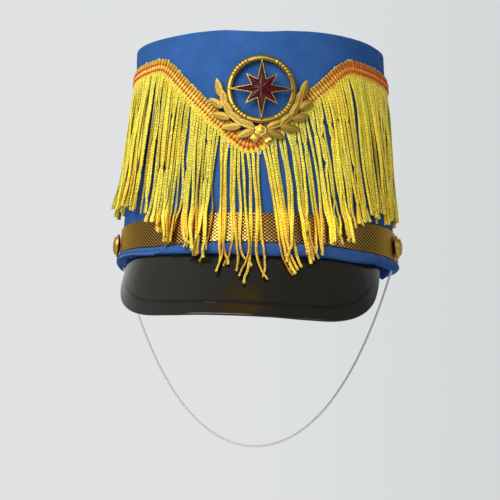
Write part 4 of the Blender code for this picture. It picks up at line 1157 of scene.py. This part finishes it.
#          along  out   turn  length   a leaf's foot on the spray's arc, degrees, mm, degrees, mm
SPRAY = ((9.0, -0.8, -20.0, 12.0), (9.0, 0.8, 34.0, 12.5), (27.0, -0.8, -18.0, 12.5),
         (27.0, 0.8, 32.0, 13.0), (46.0, -0.8, -18.0, 12.5), (46.0, 0.8, 30.0, 12.5),
         (64.0, -0.8, -16.0, 12.0), (64.0, 0.8, 28.0, 11.5), (80.0, 0.0, 4.0, 13.0))
SPRAY_RADIUS = 27.6 * MM
SPRAY_STEM = 0.9 * MM
KNOT_HEIGHT = -28.5 * MM
KNOT_RADIUS = 5.0 * MM
KNOT_THICKNESS = 3.0 * MM
TAIL_LENGTH = 9.5 * MM
TAIL_WIDTH = 5.0 * MM
TAIL_SPREAD = math.radians(38)
TAIL_NOTCH = 1.6 * MM
#                radius  shrink   the star's corners in turn, mm, and how fast they follow an inset
STAR_CORNERS = ((21.7, 4.2), (7.2, 1.2), (15.0, 3.0), (7.2, 1.2)) * 4
STAR_SEAT = RING_THICKNESS + GAP
STAR_EDGE = 0.8 * MM
STAR_PEAK = 2.6 * MM


def bend(points, lift=0.0):
    """Wraps points of the badge's flat plan, (across, up, out), round the crown."""
    points = np.asarray(points, float)
    heights = BADGE_HEIGHT + points[..., 1]
    radii = crown_radius(heights) + BADGE_STAND_OFF + lift + points[..., 2]
    return wrapped(BADGE_ANGLE + points[..., 0] / BADGE_BEND_RADIUS, radii, heights)


def spun(turn, section, centre=0.0):
    """A section's (radius, out) points in the badge's plan, at a turn round a centre."""
    return [(radius * math.sin(turn), centre + radius * math.cos(turn), out) for radius, out in section]


def gilt(light):
    """Colour of the gold from its dark grooves, at 0, to its light ridges, at 1."""
    light = np.clip(np.asarray(light, float), 0, 1)[..., None]
    return mixed(np.array((0.07, 0.035, 0.004)), np.array((0.56, 0.375, 0.075)), light)


chased_gold, tree = surface("chased gold plate", (0.62, 0.39, 0.07), 0.43, 1.0)
spots = speckle(tree, 420.0, 3.0)
finish(tree, {"Base Color": dyed(tree, ranged(tree, spots, 0.0, 1.0, 0.75, 1.15))})
emboss(tree, spots, 0.15, 0.0003)

half_ring = (RING_OUTER - RING_INNER) / 2
rings, lights = [], []
for turn in turns_of(480):
    bound = smooth((math.cos(4 * turn - math.pi) - 0.1) / 0.3)
    reeds = abs(math.sin(RING_REEDS * turn))
    swell = 0.32 * MM * reeds * bound
    section, light = [], []
    for degrees in RING_LEANS:
        lean = math.radians(degrees)
        hoops = 0.5 + 0.5 * math.cos(6 * math.radians(degrees - 90))
        light.append(0.12 + 0.80 * hoops * (1 - bound) + 0.95 * (0.35 + 0.65 * hoops) * reeds ** 0.7 * bound)
        groove = 0.28 * MM * hump(degrees, 90, 14) * (1 - bound)
        section.append((RING_MIDDLE + (half_ring + 0.5 * swell) * math.cos(lean), RING_THICKNESS * 0.25
                        + (RING_THICKNESS * 0.75 + swell - groove) * max(math.sin(lean), -0.2)))
    rings.append(spun(turn, section + [(RING_INNER, 0.0), (RING_OUTER, 0.0)]))
    lights.append(light + [0.2, 0.2])
badge_ring = lofts("badge_ring", bend([rings]), None, chased_gold, ring_loop=True, dyes=gilt([lights]))
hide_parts("cap_badge")

leaves, leaf_lights = [], []
for side in (-1, 1):
    for number, (along_arc, out, turned_out, length) in enumerate(SPRAY):
        arc = math.radians(along_arc)
        place = (Matrix.Diagonal((side, 1.0, 1.0, 1.0))
                 @ Matrix.Translation(away(arc) * (SPRAY_RADIUS + out * MM))
                 @ Matrix.Rotation(arc - math.pi / 2 - math.radians(turned_out), 4, "Z"))
        lift = 0.12 * MM * (1 + number % 5)
        rings, lights = [], []
        for t in np.linspace(0, 1, 81):
            spread = math.sin(math.pi * min(t * 0.97 + 0.03, 1.0) ** 0.82) ** 0.75
            width = LEAF_WIDTH / 2 * max(spread, 0.05)
            section, light = [], []
            for across in LEAF_ACROSS:
                veins = math.sin(2 * math.pi * (t * 9 - abs(across) * 1.9)) * (0.08 < abs(across) < 0.95)
                light.append(0.62 + 0.38 * veins + 0.3 * (abs(across) > 0.95) + 0.3 * (across == 0))
                rise = LEAF_THICKNESS * (0.45 + 0.35 * (1 - across ** 2) * spread) + 0.5 * MM * t ** 2
                rise += (0.30 * hump(across, 0, 0.09) + 0.2 * veins) * MM * spread
                section.append((across, rise))
            section += [(1, 0.1 * MM), (-1, 0.1 * MM)]
            rings.append([place @ Vector((width * across, length * MM * t, lift + rise))
                          for across, rise in section])
            lights.append(light + [0.3, 0.3])
        leaves.append(rings)
        leaf_lights.append(lights)
badge_leaves = lofts("badge_leaves", bend(leaves), None, chased_gold, dyes=gilt(leaf_lights))

stems = [[spun(side * (math.pi - math.radians(4 + 79 * share)),
               [(SPRAY_RADIUS + SPRAY_STEM * (1 - 0.4 * share) * math.cos(lean),
                 0.75 * MM + 0.7 * MM * math.sin(lean)) for lean in turns_of(8)])
          for share in np.linspace(0, 1, 40)] for side in (-1, 1)]
badge_stems = lofts("badge_stems", bend(stems), None, gold_plate)

tails = []
for side in (-1, 1):
    place = Matrix.Translation((0.0, KNOT_HEIGHT, 0.0)) @ Matrix.Rotation(side * TAIL_SPREAD, 4, "Z")
    rings = []
    for t in np.linspace(0, 1, 17):
        width = TAIL_WIDTH / 2 * (0.55 + 0.6 * smooth(t * 1.5))
        section = [(across, 1.5 * MM + 0.45 * MM * math.sin(t * 7) - 0.25 * MM * across ** 2)
                   for across in (-1, -0.6, -0.2, 0.2, 0.6, 1)]
        section += [(across, 0.3 * MM) for across in (1, 0.2, -0.2, -1)]
        rings.append([place @ Vector((width * across, TAIL_NOTCH * (1 - abs(across)) * (t == 1)
                                      - TAIL_LENGTH * t, out)) for across, out in section])
    tails.append(rings)
badge_tails = lofts("badge_ribbon_tails", bend(tails), None, gold_plate)

rings = []
for turn in turns_of(72):
    section = []
    for step in range(13):
        lean = math.radians(88 * step / 12)
        petal = 1 - 0.16 * abs(math.sin(3 * turn)) ** 3 * smooth(step / 5)
        dip = 0.55 * MM * hump(step, 4, 1.3)
        section.append((KNOT_RADIUS * max(math.sin(lean), 0.01) * petal,
                        0.4 * MM + (KNOT_THICKNESS - 0.4 * MM) * math.cos(lean) ** 0.8 - dip))
    section += [(KNOT_RADIUS * 0.9, 0.3 * MM), (0.01 * MM, 0.3 * MM)]
    rings.append(spun(turn, section, KNOT_HEIGHT))
badge_knot = lofts("badge_knot", bend([rings]), None, gold_plate, ring_loop=True)

post = -(BADGE_STAND_OFF + CROWN_WALL + POST_END)
rings = [[(radius * math.cos(turn), radius * math.sin(turn) - RING_MIDDLE, out) for turn in turns_of(16)]
         for radius, out in ((POST_RADIUS, 0.8 * MM), (POST_RADIUS, 0.0), (POST_RADIUS, post + 0.2 * MM),
                             (POST_RADIUS * 0.8, post))]
badge_post = lofts("badge_post", bend([rings]), None, gold_plate)


def star_rings(levels):
    """A star lofted from its underside up: each level has an inset, a share and a height."""
    steps = (np.arange(6) / 6)[:, None]
    rings = []
    for inset, share_out, height in levels:
        corners = np.array([spun(math.pi * number / 8, [(radius * MM - inset * shrink, 0.0)])[0]
                            for number, (radius, shrink) in enumerate(STAR_CORNERS)])
        sides = (np.roll(corners, -1, axis=0) - corners)[:, None] * steps
        rings.append((corners[:, None] + sides).reshape(-1, 3) * share_out + (0.0, 0.0, height))
    return [rings]


levels = [(0.0, 0.02, 0.0), (0.0, 1.0, 0.0), (0.0, 1.0, STAR_EDGE), (0.25 * MM, 1.0, STAR_EDGE + 0.25 * MM),
          (0.55 * MM, 1.0, STAR_EDGE + 0.25 * MM), (0.7 * MM, 1.0, STAR_EDGE - 0.2 * MM),
          (0.7 * MM, 0.02, STAR_EDGE - 0.2 * MM)]
star_frame = lofts("star_gold_edges", bend(star_rings(levels), STAR_SEAT), None, gold_plate)
star_frame.data.set_sharp_from_angle(angle=math.radians(30))
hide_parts("badge_star")

red_enamel, tree = surface("dark red enamel", (0.06, 0.004, 0.004), 0.2)
finish(tree, {"Base Color": ramp(tree, speckle(tree, 260.0, 2.0), (0.35, 0.014, 0.001, 0.002),
                                 (0.7, 0.11, 0.004, 0.004)),
              "Specular IOR Level": 0.18})
levels = [(0.62 * MM, 0.02, STAR_EDGE - 0.1 * MM), (0.62 * MM, 1.0, STAR_EDGE - 0.1 * MM),
          (0.64 * MM, 1.0, STAR_EDGE + 0.08 * MM), (0.95 * MM, 0.93, STAR_EDGE + 0.35 * MM),
          (1.1 * MM, 0.55, STAR_PEAK * 0.82), (1.1 * MM, 0.2, STAR_PEAK * 0.95), (1.1 * MM, 0.01, STAR_PEAK)]
star_enamel = lofts("star_enamel", bend(star_rings(levels), STAR_SEAT), None, red_enamel)
star_enamel.data.set_sharp_from_angle(angle=math.radians(24))
